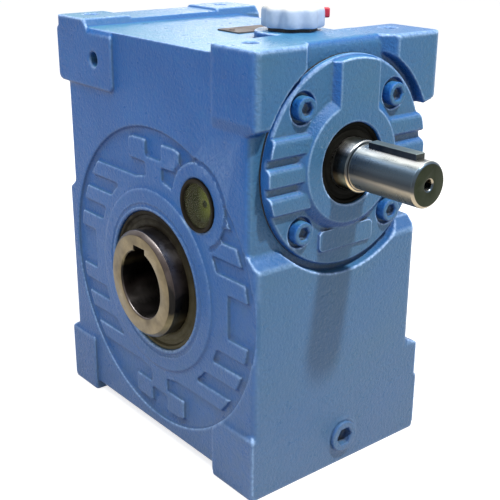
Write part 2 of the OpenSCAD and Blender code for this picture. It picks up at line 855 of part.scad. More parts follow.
module output_bearing_outer_left() {
    color("silver") mirror([0, 1, 0]) ball_ring(ob_out_r - ob_race_t, ob_out_r - slip);
}

module output_bearing_outer_right() {
    color("silver") ball_ring(ob_out_r - ob_race_t, ob_out_r - slip);
}

module output_bearing_inner_left() {
    color("silver") mirror([0, 1, 0]) ball_ring(ob_in_r + slip, ob_in_r + ob_race_t);
}

module output_bearing_inner_right() {
    color("silver") ball_ring(ob_in_r + slip, ob_in_r + ob_race_t);
}

module balls(side) {
    ring_y(ob_balls) translate([ob_mid_r, side * (ob_start + ob_end) / 2, 0])
        sphere(r = ob_ball_r, $fn = 48);
}

module output_bearing_balls_left() {
    color("gainsboro") balls(-1);
}

module output_bearing_balls_right() {
    color("gainsboro") balls(1);
}

// Pressed cage that spaces the balls
module cage(side) {
    mid = side * (ob_start + ob_end) / 2;
    low = mid - ob_cage_half_w;
    high = mid + ob_cage_half_w;
    difference() {
        turned_y([[ob_mid_r - ob_cage_half_t, low], [ob_mid_r + ob_cage_half_t, low],
            [ob_mid_r + ob_cage_half_t, high], [ob_mid_r - ob_cage_half_t, high]]);
        ring_y(ob_balls) translate([ob_mid_r - 2 * ob_cage_half_t, mid, 0]) rotate([0, 90, 0])
            cylinder(h = 4 * ob_cage_half_t, r = ob_ball_r + roll_gap, $fn = 48);
    }
}

module output_bearing_cage_left() {
    color("goldenrod") cage(-1);
}

module output_bearing_cage_right() {
    color("goldenrod") cage(1);
}

// Taper roller bearing: roller centre line and roller radius at a share of the
// width from the wide face
function taper_mid(in_r, out_r, share) =
    in_r + (out_r - in_r) * (track_mid_share - track_fall_share * share);
function taper_half(in_r, out_r, share) = (out_r - in_r) * (roller_half_share - roller_fall_share * share);
function cup_track(in_r, out_r, share) =
    taper_mid(in_r, out_r, share) + taper_half(in_r, out_r, share) + roll_gap;
function cone_track(in_r, out_r, share) =
    taper_mid(in_r, out_r, share) - taper_half(in_r, out_r, share) - roll_gap;

// Outer ring, drawn with its wide end at z = 0 and the bearing width w above
module taper_cup(in_r, out_r, w) {
    rotate_extrude($fn = circle_parts)
        polygon([[out_r - slip, 0], [out_r - slip, w * cup_w_share],
            [cup_track(in_r, out_r, cup_w_share), w * cup_w_share], [cup_track(in_r, out_r, 0), 0]]);
}

// Inner ring with its guide ribs
module taper_cone(in_r, out_r, w) {
    wide = cone_track(in_r, out_r, 0);
    slim = cone_track(in_r, out_r, cone_front_share);
    rotate_extrude($fn = circle_parts)
        polygon([[in_r + slip, w * cone_back_share], [wide, w * cone_back_share], [wide, w * cone_rib_share],
            [slim, w * cone_front_share], [slim, w], [in_r + slip, w]]);
}

// Conical rollers lying on the cone
module taper_rollers(in_r, out_r, w) {
    wide = taper_mid(in_r, out_r, roller_start_share);
    slim = taper_mid(in_r, out_r, roller_end_share);
    length = w * (roller_end_share - roller_start_share);
    for (i = [0:rollers - 1]) rotate([0, 0, i * 360 / rollers])
        translate([wide, 0, w * roller_start_share]) rotate([0, -atan((wide - slim) / length), 0])
            cylinder(h = length, r1 = taper_half(in_r, out_r, roller_start_share) - roll_gap / 2,
                r2 = taper_half(in_r, out_r, roller_end_share) - roll_gap / 2, $fn = 24);
}

// Bearing places: wide end outwards at both ends of the shaft
module at_front() {
    translate([fb_end, 0, centre_distance]) rotate([0, -90, 0]) children();
}

module at_rear() {
    translate([-rb_end, 0, centre_distance]) rotate([0, 90, 0]) children();
}

module input_bearing_cup() {
    color("silver") at_front() taper_cup(fb_in_r, fb_out_r, fb_w);
}

module rear_bearing_cup() {
    color("silver") at_rear() taper_cup(rb_in_r, rb_out_r, rb_w);
}

module input_bearing_cone() {
    color("silver") at_front() taper_cone(fb_in_r, fb_out_r, fb_w);
}

module rear_bearing_cone() {
    color("silver") at_rear() taper_cone(rb_in_r, rb_out_r, rb_w);
}

module input_bearing_rollers() {
    color("gainsboro") at_front() taper_rollers(fb_in_r, fb_out_r, fb_w);
}

module rear_bearing_rollers() {
    color("gainsboro") at_rear() taper_rollers(rb_in_r, rb_out_r, rb_w);
}

module sight_glass_ring() {
    color("dimgray")
    translate([sight_x, 0, sight_z]) difference() {
        union() {
            bar_y(sight_r, -left_y - sight_ring_t / 3, -left_y + sight_ring_t);
            bar_y(sight_stem_r, -left_y + sight_ring_t - cut, -left_y + wall_t);
        }
        bar_y(lens_r, -pad_y, -lens_back_y);
        bar_y(sight_stem_r - sight_ring_t, -pad_y, -left_y + wall_t + cut);
    }
}

module sight_glass_lens() {
    color("olivedrab", 0.6)
    bar_y(lens_r - slip, -left_y, -lens_back_y, sight_x, sight_z);
}

module sight_glass_reflector() {
    color("darkkhaki")
    translate([sight_x, 0, sight_z]) difference() {
        bar_y(sight_stem_r - sight_ring_t - slip, -reflector_y, -reflector_y + reflector_t);
        bar_y(sight_ring_t / 2, -reflector_y - cut, -reflector_y + reflector_t + cut);
    }
}

module drain_plug() {
    color("steelblue")
    difference() {
        union() {
            bar_x(drain_d / 2, front_x + cut / 2, front_x + 3 * cut, drain_y, -drain_z);
            bar_x(drain_bore_r - slip, front_x - wall_t, front_x + cut, drain_y, -drain_z);
        }
        translate([front_x - wall_t / 2, drain_y, -drain_z]) rotate([0, 90, 0])
            cylinder(h = wall_t, r = drain_socket / sqrt(3), $fn = 6);
    }
}

module vent_base() {
    color("black")
    translate([vent_x, 0, top_h]) difference() {
        union() {
            cylinder(h = vent_neck_h, r = vent_neck_r, $fn = 6);
            translate([0, 0, -wall_t]) cylinder(h = wall_t + cut, r = vent_bore_r - slip, $fn = 48);
        }
        translate([0, 0, -wall_t - cut]) cylinder(h = 2 * wall_t, r = vent_bore_r / 3, $fn = 24);
    }
}

module vent_cap() {
    r = vent_d / 2;
    groove_r = r / 2;
    edge_z = vent_h * (1 - vent_edge_share);
    color("white")
    translate([vent_x, 0, top_h + vent_neck_h]) difference() {
        union() {
            cylinder(h = edge_z, r = r, $fn = circle_parts);
            translate([0, 0, edge_z])
                cylinder(h = vent_h - edge_z, r1 = r, r2 = r * vent_top_share, $fn = circle_parts);
        }
        for (i = [0:vent_lobes - 1]) rotate([0, 0, (i + 0.5) * 360 / vent_lobes])
            translate([r + groove_r - vent_lobe_depth, 0, -cut])
                cylinder(h = vent_h + 2 * cut, r = groove_r, $fn = 48);
        rotate([0, 0, tab_angle])
            translate([r - tab_l + tab_out - hole_gap, -tab_w / 2 - hole_gap, vent_h * tab_rise_share])
                cube([tab_l + r, tab_w + 2 * hole_gap, tab_h + hole_gap]);
    }
}

module vent_tab() {
    color("red")
    translate([vent_x, 0, top_h + vent_neck_h]) rotate([0, 0, tab_angle])
        translate([vent_d / 2 - tab_l + tab_out, -tab_w / 2, vent_h * tab_rise_share + hole_gap / 2])
            cube([tab_l, tab_w, tab_h]);
}

module rating_plate() {
    color("silver")
    translate([plate_x - plate_l, plate_y - plate_w / 2, deck_z]) difference() {
        linear_extrude(plate_t) polygon(rounded(box_corners(0, 0, plate_l, plate_w, plate_t)));
        for (y = [rivet_inset, plate_w - rivet_inset])
            translate([plate_l / 2, y, -cut]) cylinder(h = plate_t + 2 * cut, r = rivet_r, $fn = 24);
    }
}

module plate_rivets() {
    color("silver")
    for (y = [rivet_inset, plate_w - rivet_inset])
        translate([plate_x - plate_l / 2, plate_y - plate_w / 2 + y, deck_z]) {
            cylinder(h = plate_t, r = rivet_r - slip, $fn = 24);
            translate([0, 0, plate_t]) cylinder(h = plate_t, r1 = rivet_head_r, r2 = rivet_r, $fn = 24);
        }
}

// Corner j of the thread section at step i along the worm: outside the worm
// root the flanks lean by the pressure angle
function thread_point(i, j) =
    let (turn = 360 * i / thread_parts, r = j < 2 ? worm_root_r - throat_gap : worm_tip_r)
    let (half = (lead - backlash) / 4 + (worm_pitch_r - r) * tan(pressure_angle))
    let (side = (j == 0 || j == 3) ? -1 : 1)
    [r * sin(turn), -r * cos(turn), lead * turn / 360 + side * half];

module worm_thread() {
    turns = worm_thread_l / lead;
    steps = floor(turns * thread_parts / 2);
    count = 2 * steps + 1;
    points = [for (i = [-steps:steps], j = [0:3]) thread_point(i, j)];
    sides = [for (i = [0:count - 2], j = [0:3]) let (a = 4 * i + j, b = 4 * i + (j + 1) % 4)
        each [[a, b + 4, b], [a, a + 4, b + 4]]];
    ends = [[0, 1, 2, 3], [for (j = [3:-1:0]) 4 * (count - 1) + j]];
    polyhedron(points = points, faces = concat(sides, ends), convexity = 10);
}

module worm_shaft() {
    thread_half = worm_thread_l / 2;
    core_half = thread_half + lead / 3;
    rear_r = rb_in_r + rb_shoulder_h;
    front_r = fb_in_r + fb_shoulder_h;
    color("silver")
    difference() {
        union() {
            turned_x([[0, -rb_end - slip], [rb_in_r - cut, -rb_end - slip], [rb_in_r, -rb_end + cut],
                [rb_in_r, -rb_start], [rear_r, -rb_start], [rear_r, -core_half], [worm_root_r, -core_half],
                [worm_root_r, core_half], [front_r, core_half], [front_r, fb_start], [fb_in_r, fb_start],
                [fb_in_r, input_step_x - cut], [fb_in_r - cut, input_step_x],
                [input_shaft_d / 2, input_step_x],
                [input_shaft_d / 2, input_shaft_reach - shaft_chamfer],
                [input_shaft_d / 2 - shaft_chamfer, input_shaft_reach], [0, input_shaft_reach]]);
            translate([0, 0, centre_distance]) rotate([0, 90, 0]) rotate([0, 0, 90]) worm_thread();
        }
        input_key_solid();
        bar_x(centre_hole_d / 2, input_shaft_reach - centre_hole_depth, input_shaft_reach + cut);
        cone_x(centre_hole_d / 2, centre_hole_d / 2 + 2 * cut, input_shaft_reach - cut,
            input_shaft_reach + cut);
    }
}

// Key of the shaft end, also cut out of the shaft as its seat
module input_key_solid() {
    translate([key_start_x, -input_key_w / 2, key_base_z]) cube([input_key_l, input_key_w, input_key_h]);
}

module input_key() {
    color("dimgray") input_key_solid();
}

module hollow_shaft() {
    half = hollow_shaft_l / 2;
    color("tan")
    difference() {
        turned_y([[bore_d / 2 + cut, -half], [ob_in_r - hollow_chamfer, -half],
            [ob_in_r, -half + hollow_chamfer], [ob_in_r, -ob_start], [collar_r, -ob_start],
            [collar_r, -hub_half_w], [hub_bore_r, -hub_half_w], [hub_bore_r, hub_half_w],
            [ob_in_r, hub_half_w], [ob_in_r, half - hollow_chamfer], [ob_in_r - hollow_chamfer, half],
            [bore_d / 2 + cut, half], [bore_d / 2, half - cut], [bore_d / 2, -half + cut]]);
        translate([-bore_key_w / 2, -half - cut, 0])
            cube([bore_key_w, hollow_shaft_l + 2 * cut, bore_d / 2 + bore_key_depth]);
        translate([-wheel_key_w / 2, -hub_half_w, -hub_bore_r - cut])
            cube([wheel_key_w, 2 * hub_half_w, key_seat_depth + cut]);
    }
}

module wheel_key() {
    color("dimgray")
    translate([-wheel_key_w / 2, -hub_half_w, -hub_bore_r + key_seat_depth - wheel_key_h])
        cube([wheel_key_w, 2 * hub_half_w, wheel_key_h]);
}

module wheel_hub() {
    flange = wheel_face_w / 2;
    under_r = rim_seat_r - hub_flange_t;
    color("gray")
    difference() {
        turned_y([[hub_bore_r + slip, -hub_half_w], [hub_out_r, -hub_half_w], [hub_out_r, -web_half_w],
            [under_r, -web_half_w], [under_r, -flange], [rim_seat_r - slip, -flange],
            [rim_seat_r - slip, flange], [under_r, flange], [under_r, web_half_w], [hub_out_r, web_half_w],
            [hub_out_r, hub_half_w], [hub_bore_r + slip, hub_half_w]]);
        translate([-wheel_key_w / 2, -hub_half_w - cut, -hub_bore_r + key_seat_depth - wheel_key_h])
            cube([wheel_key_w, 2 * (hub_half_w + cut), wheel_key_h + cut]);
    }
}

module wheel_spacer() {
    color("silver")
    turned_y([[ob_in_r + slip, hub_half_w], [ob_in_r + ob_race_t - cut, hub_half_w],
        [ob_in_r + ob_race_t - cut, ob_start], [ob_in_r + slip, ob_start]]);
}

// Radius of a groove that wraps round a worm of radius r, at distance y from the middle
function wrap_r(r, y) = centre_distance - sqrt(r * r - y * y);

// Half thickness of a wheel tooth at radius r, by the involute of the pitch circle
function tooth_half(r) =
    let (base = wheel_pitch_r * cos(pressure_angle), slant = acos(base / max(r, base)))
    let (inv = function (a) tan(a) - a * PI / 180)
    r * ((lead - backlash) / 4 / wheel_pitch_r + inv(pressure_angle) - inv(slant));

// Root and tip radius of the rim at distance y from its middle
function rim_root(y) = min(wheel_pitch_r, wrap_r(worm_tip_r + throat_gap, y));
function rim_tip(y) =
    abs(y) < worm_root_r ? min(wheel_tip_r, wrap_r(worm_root_r + throat_gap, y)) : wheel_tip_r;

// Points of one tooth at distance y: up one flank, over the tip, down the other
function tooth_points(i, y) =
    let (root = rim_root(y), tip = rim_tip(y), middle = (root + tip) / 2)
    let (place = 360 * i / wheel_teeth + (y * tan(lead_angle) / wheel_pitch_r) * 180 / PI)
    [for (step = [[-1, root], [-1, middle], [-1, tip], [1, tip], [1, middle], [1, root]])
        let (r = step[1], a = place + step[0] * tooth_half(r) / r * 180 / PI) [r * sin(a), y, r * cos(a)]];

module wheel_rim() {
    half = wheel_face_w / 2;
    bands = 6;
    ring = 6 * wheel_teeth;
    outer = [for (k = [0:bands], i = [0:wheel_teeth - 1]) each tooth_points(i, half * (2 * k / bands - 1))];
    inner = [for (y = [-half, half], j = [0:ring - 1]) let (a = 360 * (j - 2.5) / ring)
        [rim_seat_r * sin(a), y, rim_seat_r * cos(a)]];
    top = (bands + 1) * ring;
    skin = [for (k = [0:bands - 1], j = [0:ring - 1])
        let (a = k * ring + j, b = k * ring + (j + 1) % ring)
            each [[a, b + ring, b], [a, a + ring, b + ring]]];
    bore = [for (j = [0:ring - 1])
        let (a = top + j, b = top + (j + 1) % ring) each [[a, b, b + ring], [a, b + ring, a + ring]]];
    sides = [for (j = [0:ring - 1]) let (a = j, b = (j + 1) % ring, c = bands * ring)
        each [[a, top + b, top + a], [a, b, top + b],
            [c + a, top + ring + a, top + ring + b], [c + a, top + ring + b, c + b]]];
    color("darkgoldenrod")
    rotate([0, 180 / wheel_teeth, 0])
        polyhedron(points = concat(outer, inner), faces = concat(skin, bore, sides), convexity = 10);
}

housing();
side_cover();
side_cover_gasket();
side_cover_screws();
input_cover();
input_cover_gasket();
input_cover_screws();
rear_cover();
rear_cover_gasket();
rear_cover_screws();
input_seal();
output_seal_left();
output_seal_right();
input_bearing_cup();
rear_bearing_cup();
output_bearing_outer_left();
output_bearing_outer_right();
sight_glass_ring();
sight_glass_lens();
sight_glass_reflector();
drain_plug();
vent_base();
vent_cap();
vent_tab();
rating_plate();
plate_rivets();
worm_shaft();
input_key();
input_bearing_cone();
rear_bearing_cone();
input_bearing_rollers();
rear_bearing_rollers();
hollow_shaft();
wheel_hub();
wheel_rim();
wheel_key();
wheel_spacer();
output_bearing_inner_left();
output_bearing_inner_right();
output_bearing_balls_left();
output_bearing_balls_right();
output_bearing_cage_left();
output_bearing_cage_right();
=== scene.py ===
import math

import bpy
from mathutils import Matrix, Vector


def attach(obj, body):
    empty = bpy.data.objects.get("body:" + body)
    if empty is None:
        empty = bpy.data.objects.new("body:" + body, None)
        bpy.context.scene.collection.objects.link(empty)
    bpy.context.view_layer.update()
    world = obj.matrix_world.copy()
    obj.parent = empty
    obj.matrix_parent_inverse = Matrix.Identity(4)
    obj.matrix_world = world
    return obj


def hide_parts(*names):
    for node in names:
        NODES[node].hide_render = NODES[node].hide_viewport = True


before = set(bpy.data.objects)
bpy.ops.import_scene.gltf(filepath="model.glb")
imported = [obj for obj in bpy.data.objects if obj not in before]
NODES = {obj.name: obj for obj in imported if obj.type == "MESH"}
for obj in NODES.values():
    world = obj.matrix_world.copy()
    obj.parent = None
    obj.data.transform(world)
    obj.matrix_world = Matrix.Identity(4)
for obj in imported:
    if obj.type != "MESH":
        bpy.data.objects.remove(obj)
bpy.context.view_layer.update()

# The worm gear reducer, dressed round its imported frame: castings in blue enamel,
# ground steel shafts, a sight glass, a vent and a blank plate.

MM = 0.001
FULL_TURN = 2 * math.pi
QUARTER = math.pi / 2

# The camera of the photograph: place, viewing direction, roll and lens
CAMERA_PLACE = (539.2 * MM, -432.3 * MM, 261.6 * MM)
CAMERA_VIEW = (-0.7257, 0.5938, -0.3476)
CAMERA_ROLL = math.radians(0.34)
CAMERA_LENS = 67.88
SENSOR_W = 36

# Planes and axes of the reducer, and the turns that face its sides
FOOT_Z = -129 * MM
INPUT_H = 100
INPUT_Z = INPUT_H * MM
LEFT_Y = -80 * MM
SIGHT_X, SIGHT_Z = 52.2 * MM, 70.2 * MM
VENT_X, VENT_Z = 55 * MM, 182.5 * MM
FRONT = (0, QUARTER, 0)
REAR = (0, -QUARTER, 0)
LEFT = (QUARTER, 0, 0)
RIGHT = (-QUARTER, 0, 0)

# Cast ring of the left side, and the grooves pressed round its boss and hub
RING_IN_R, RING_OUT_R, RING_DEPTH = 62 * MM, 116 * MM, 4 * MM
BOSS_PROUD, FACE_PLAY = 4 * MM, 0.7 * MM
HUB_EDGE_R = 78 * MM
BOSS_GROOVE = {"radius": 30.6 * MM, "half_width": 1.5 * MM, "depth": 1.3 * MM}
HUB_GROOVE = {"radius": 56.8 * MM, "half_width": 1.3 * MM, "depth": 1.0 * MM}

EASING, DRAFTING = 4, 5

# Screws and plug, in millimetres
COVER_SCREW = {"head_r": 8, "head_h": 8, "socket": 8, "socket_depth": 4.5,
               "shank_r": 4.9, "length": 30, "edge": 1.3}
SMALL_SCREW = {"head_r": 5, "head_h": 6, "socket": 5, "socket_depth": 3.4,
               "shank_r": 2.9, "length": 20, "edge": 0.7}
DRAIN_PLUG = {"head_r": 11.8, "head_h": 3.2, "socket": 12.5, "socket_depth": 7.5,
              "shank_r": 8.2, "length": 11, "edge": 1.0}
INPUT_SCREW_X, INPUT_SCREW_OUT = 108.5, 40.8
SIDE_SCREW_Y, SIDE_SCREW_R, SIDE_SCREWS = 76, 93, 8
REAR_SCREW_X, REAR_SCREW_R = -121, 41.5
PLUG_PLACE = (115.2 * MM, 3 * MM, -107 * MM)

# Shaft seals: inner radius, outer radius and width in millimetres, and where
# their outer faces lie
INPUT_SEAL = (17.6, 27.45, 8)
OUTPUT_SEAL = (40.1, 52.45, 10)
INPUT_SEAL_X = 115.5 * MM
OUTPUT_SEAL_Y = 80.5 * MM

# Where the outer ends of the shafts begin, whose edges are broken
SHAFT_END_FROM = 120 * MM
HOLLOW_END_FROM, HOLLOW_INSIDE_R = 85 * MM, 15 * MM

# Outlines of turned pieces, as radius and height in millimetres
SIGHT_RING_OUTLINE = [
    (18.45, -2.9), (18.45, 0.5), (18.1, 0.95), (16.7, 1.0), (16.1, 0.75), (15.7, 0.1),
    (15.5, -0.4), (15.5, -1.85), (12.75, -1.85), (12.75, -11.9), (13.9, -11.9), (13.9, -3)]
SIGHT_LENS_OUTLINE = [
    (0, -1.8), (15.4, -1.8), (15.42, -1.2), (15.2, -0.7), (11, -0.45), (5, -0.35), (0, -0.3)]
REFLECTOR_OUTLINE = [
    (1.9, -7.4), (12.65, -7.2), (12.65, -5.7), (12.2, -5.4), (9.5, -5.9), (5.5, -6.5),
    (2.2, -6.8), (1.9, -7.0)]
CAP_R = 21.5
CAP_OUTLINE = [
    (0, 0), (10, 0), (20.4, 0), (21.1, 0.3), (CAP_R, 1.2), (CAP_R, 4.5), (CAP_R, 8),
    (21.4, 10.6), (21.0, 12.0), (20.0, 13.0), (18.4, 13.5), (14, 13.8), (7, 13.95), (0, 14)]

# Lobes of the vent cap, and its tab
LOBES, LOBE_DEPTH = 8, 2.6
CAP_SIDE_R = 17.5 * MM
HOLLOW_STEPS = 6
TAB_TURN = math.radians(50)
TAB_SIZE, TAB_EDGE = (12, 5, 6.6), 1.1
TAB_OUT, TAB_RISE = 18.6 * MM, 9.1 * MM

# Steps of a full turn of a turned piece, sides of a screw, and seams to merge
TURNED_STEPS = 96
SCREW_SIDES = 48
SEAM, FRAME_SEAM = 0.002 * MM, 0.001 * MM

# Usual range of a noise, and the range that parts it into patches
NOISE_RANGE = (0.3, 0.7)
PATCH_RANGE = (0.35, 0.7)


# Finishes

class Finish:
    """Node graph of one finish, built up in small steps."""

    def __init__(self, name, colour, roughness, metallic=0.0, **sockets):
        self.material = bpy.data.materials.new(name)
        self.material.use_nodes = True
        self.tree = self.material.node_tree
        self.shader = self.tree.nodes["Principled BSDF"]
        self.place = self.add("ShaderNodeTexCoord").outputs["Object"]
        self.shader.inputs["Base Color"].default_value = (*colour, 1)
        self.shader.inputs["Roughness"].default_value = roughness
        self.shader.inputs["Metallic"].default_value = metallic
        for socket, value in sockets.items():
            self.shader.inputs[socket.replace("_", " ")].default_value = value

    def add(self, kind, inputs=None, **settings):
        made = self.tree.nodes.new(kind)
        for key, value in settings.items():
            setattr(made, key, value)
        for key, value in (inputs or {}).items():
            if isinstance(value, bpy.types.NodeSocket):
                self.tree.links.new(value, made.inputs[key])
            else:
                made.inputs[key].default_value = value
        return made

    def stretched(self, x, y, z):
        """Place with its axes scaled, for a pattern drawn out along one of them."""
        mapped = self.add("ShaderNodeMapping", {"Vector": self.place, "Scale": (x, y, z)})
        return mapped.outputs["Vector"]

    def noise(self, size, detail=2.0, rough=0.5, vector=None):
        """Noise whose patches are about size mm across."""
        return self.add("ShaderNodeTexNoise", {
            "Vector": vector or self.place, "Scale": 1 / (size * MM),
            "Detail": detail, "Roughness": rough}).outputs["Fac"]

    def along(self, axis):
        """Place along one axis, in metres."""
        return self.add("ShaderNodeSeparateXYZ", {"Vector": self.place}).outputs[axis]

    def spread(self, source, low, high, to_low=0.0, to_high=1.0):
        """The stretch of source from low to high, carried over to another range."""
        return self.add("ShaderNodeMapRange", {
            "Value": source, "From Min": low, "From Max": high,
            "To Min": to_low, "To Max": to_high}).outputs["Result"]

    def varied(self, noise, to_low, to_high):
        """A noise carried over to the given range."""
        return self.spread(noise, *NOISE_RANGE, to_low, to_high)

    def patched(self, noise):
        """1 in the patches of a noise, 0 between them."""
        return self.spread(noise, *PATCH_RANGE)

    def times(self, a, b):
        return self.add("ShaderNodeMath", {0: a, 1: b}, operation="MULTIPLY").outputs["Value"]

    def plus(self, a, b):
        return self.add("ShaderNodeMath", {0: a, 1: b}, operation="ADD").outputs["Value"]

    def blend(self, share, first, second):
        """Colour that goes from first to second."""
        def colour(value):
            return value if isinstance(value, bpy.types.NodeSocket) else (*value, 1)
        made = self.add("ShaderNodeMix", {0: share, 6: colour(first), 7: colour(second)},
                        data_type="RGBA")
        return made.outputs[2]

    def facing(self, x, y, z):
        """1 where the surface faces the given direction, -1 where it faces away."""
        surface = self.add("ShaderNodeNewGeometry").outputs["Normal"]
        towards = self.add("ShaderNodeVectorMath", {0: surface, 1: (x, y, z)}, operation="DOT_PRODUCT")
        return towards.outputs["Value"]

    def bands(self, source, stops):
        """Colours laid along source, given as (value, colour) from -1 to 1."""
        share = self.spread(source, -1, 1)
        made = self.add("ShaderNodeValToRGB", {"Fac": share})
        marks = made.color_ramp.elements
        while len(marks) < len(stops):
            marks.new(0.5)
        for mark, (value, colour) in zip(marks, stops):
            mark.position = (value + 1) / 2
            mark.color = (*colour, 1)
        return made.outputs["Color"]

    def crevice(self, distance, low, high):
        """1 in a tight hollow, 0 on open faces."""
        open_share = self.add("ShaderNodeAmbientOcclusion", {"Distance": distance * MM},
                              samples=6, only_local=True).outputs["AO"]
        return self.spread(open_share, low, high, 1.0, 0.0)

    def ridge(self, low, high):
        """1 on a raised edge of a dense mesh, 0 elsewhere."""
        return self.spread(self.add("ShaderNodeNewGeometry").outputs["Pointiness"], low, high)

    def bump(self, height, depth, strength, under=None):
        inputs = {"Height": height, "Distance": depth * MM, "Strength": strength}
        if under:
            inputs["Normal"] = under
        return self.add("ShaderNodeBump", inputs).outputs["Normal"]

    def set(self, socket, source):
        self.tree.links.new(source, self.shader.inputs[socket])

    def done(self, colour=None, roughness=None, normal=None):
        for socket, source in (("Base Color", colour), ("Roughness", roughness), ("Normal", normal)):
            if source:
                self.set(socket, source)
        return self.material


def blue_enamel(name, dense=True):
    """Satin machine enamel, sprayed over a fine cast grain, with painted light laid in:
    a paler painted sheen on its tops, a greyer painted haze on its front faces,
    painted bounce light low down, and painted shade under it and in deep hollows.
    On a dense mesh its raised edges that face upwards get a painted highlight."""
    deep, fresh, faded = (0.012, 0.110, 0.392), (0.018, 0.134, 0.447), (0.040, 0.180, 0.450)
    front_haze, top_sheen, bounce_lit = (0.046, 0.137, 0.240), (0.080, 0.265, 0.420), (0.086, 0.158, 0.298)
    pooled, unlit = (0.125, 0.127, 0.125), (0.006, 0.010, 0.016)
    edge_highlight, shaded = (0.38, 0.58, 0.92), (0.006, 0.048, 0.190)
    f = Finish(name, fresh, 0.4, Specular_IOR_Level=0.23)
    clouds = f.noise(size=60, detail=3, rough=0.55)
    spots = f.noise(size=8, detail=3, rough=0.6)
    grain = f.noise(size=2.6, detail=4, rough=0.6)
    peel = f.noise(size=1.3, detail=2, rough=0.5)

    colour = f.blend(f.spread(clouds, 0.35, 0.68), deep, fresh)
    colour = f.blend(f.spread(spots, 0.52, 0.8, 0, 0.5), colour, faded)
    # Painted light: faces turned to the front are painted a greyer haze, as the light falls on them.
    front = f.times(f.spread(f.facing(1, 0, 0), 0.5, 0.95), f.varied(clouds, 0.65, 0.95))
    colour = f.blend(front, colour, front_haze)
    # Painted sheen: faces turned upwards are painted paler, most towards -Y.
    top = f.times(f.spread(f.facing(0, 0, 1), 0.75, 0.97), f.varied(spots, 0.75, 1.0))
    top = f.times(top, f.spread(f.along("Y"), 70 * MM, -70 * MM, 0.3, 1.0))
    colour = f.blend(top, colour, top_sheen)
    # Painted bounce light: lower parts are painted lighter and greyer, most towards the front.
    low = f.times(f.spread(f.along("Z"), 115 * MM, FOOT_Z),
                  f.spread(f.along("X"), -110 * MM, 110 * MM, 0.55, 1.0))
    colour = f.blend(f.times(low, f.varied(spots, 0.5, 1.0)), colour, bounce_lit)
    corner = f.crevice(distance=5, low=0.55, high=0.88)
    corner = f.times(corner, f.spread(spots, 0.3, 0.6, 0.4, 1.0))
    colour = f.blend(corner, colour, pooled)
    colour = f.blend(f.crevice(distance=9, low=0.16, high=0.44), colour, unlit)
    if dense:
        # Painted highlight: raised edges that face upwards are painted pale.
        lit_edges = f.times(f.ridge(low=0.504, high=0.532), f.spread(grain, 0.35, 0.6, 0.4, 1.0))
        lit_edges = f.times(lit_edges, f.spread(f.facing(0.2, 0.1, 0.97), -0.15, 0.45, 0.12, 1.0))
        colour = f.blend(lit_edges, colour, edge_highlight)
    under = f.spread(f.facing(0, 0, 1), -0.08, -0.6, 0.0, 0.85)
    colour = f.blend(under, colour, shaded)

    normal = f.bump(grain, depth=0.9, strength=0.9)
    normal = f.bump(peel, depth=0.2, strength=0.7, under=normal)
    return f.done(colour, f.varied(spots, 0.26, 0.40), normal)


def ground_steel(name, colour, roughness, axis):
    """Turned and ground steel: fine rings round the axis, smears of oil."""
    f = Finish(name, colour, roughness, 1.0)
    scale = {"X": (1, 0.02, 0.02), "Y": (0.02, 1, 0.02)}[axis]
    rings = f.noise(0.35, 3, 0.7, f.stretched(*scale))
    smears = f.noise(14, 4, 0.6)
    oiled = tuple(value * 0.75 for value in colour)
    scored = tuple(value * 0.7 for value in colour)
    shade = f.blend(f.patched(smears), colour, oiled)
    shade = f.blend(f.varied(rings, 0, 0.35), shade, scored)
    rough = f.plus(f.varied(smears, roughness * 0.8, roughness * 1.35), f.varied(rings, 0, 0.06))
    return f.done(shade, rough, f.bump(rings, 0.03, 0.5))


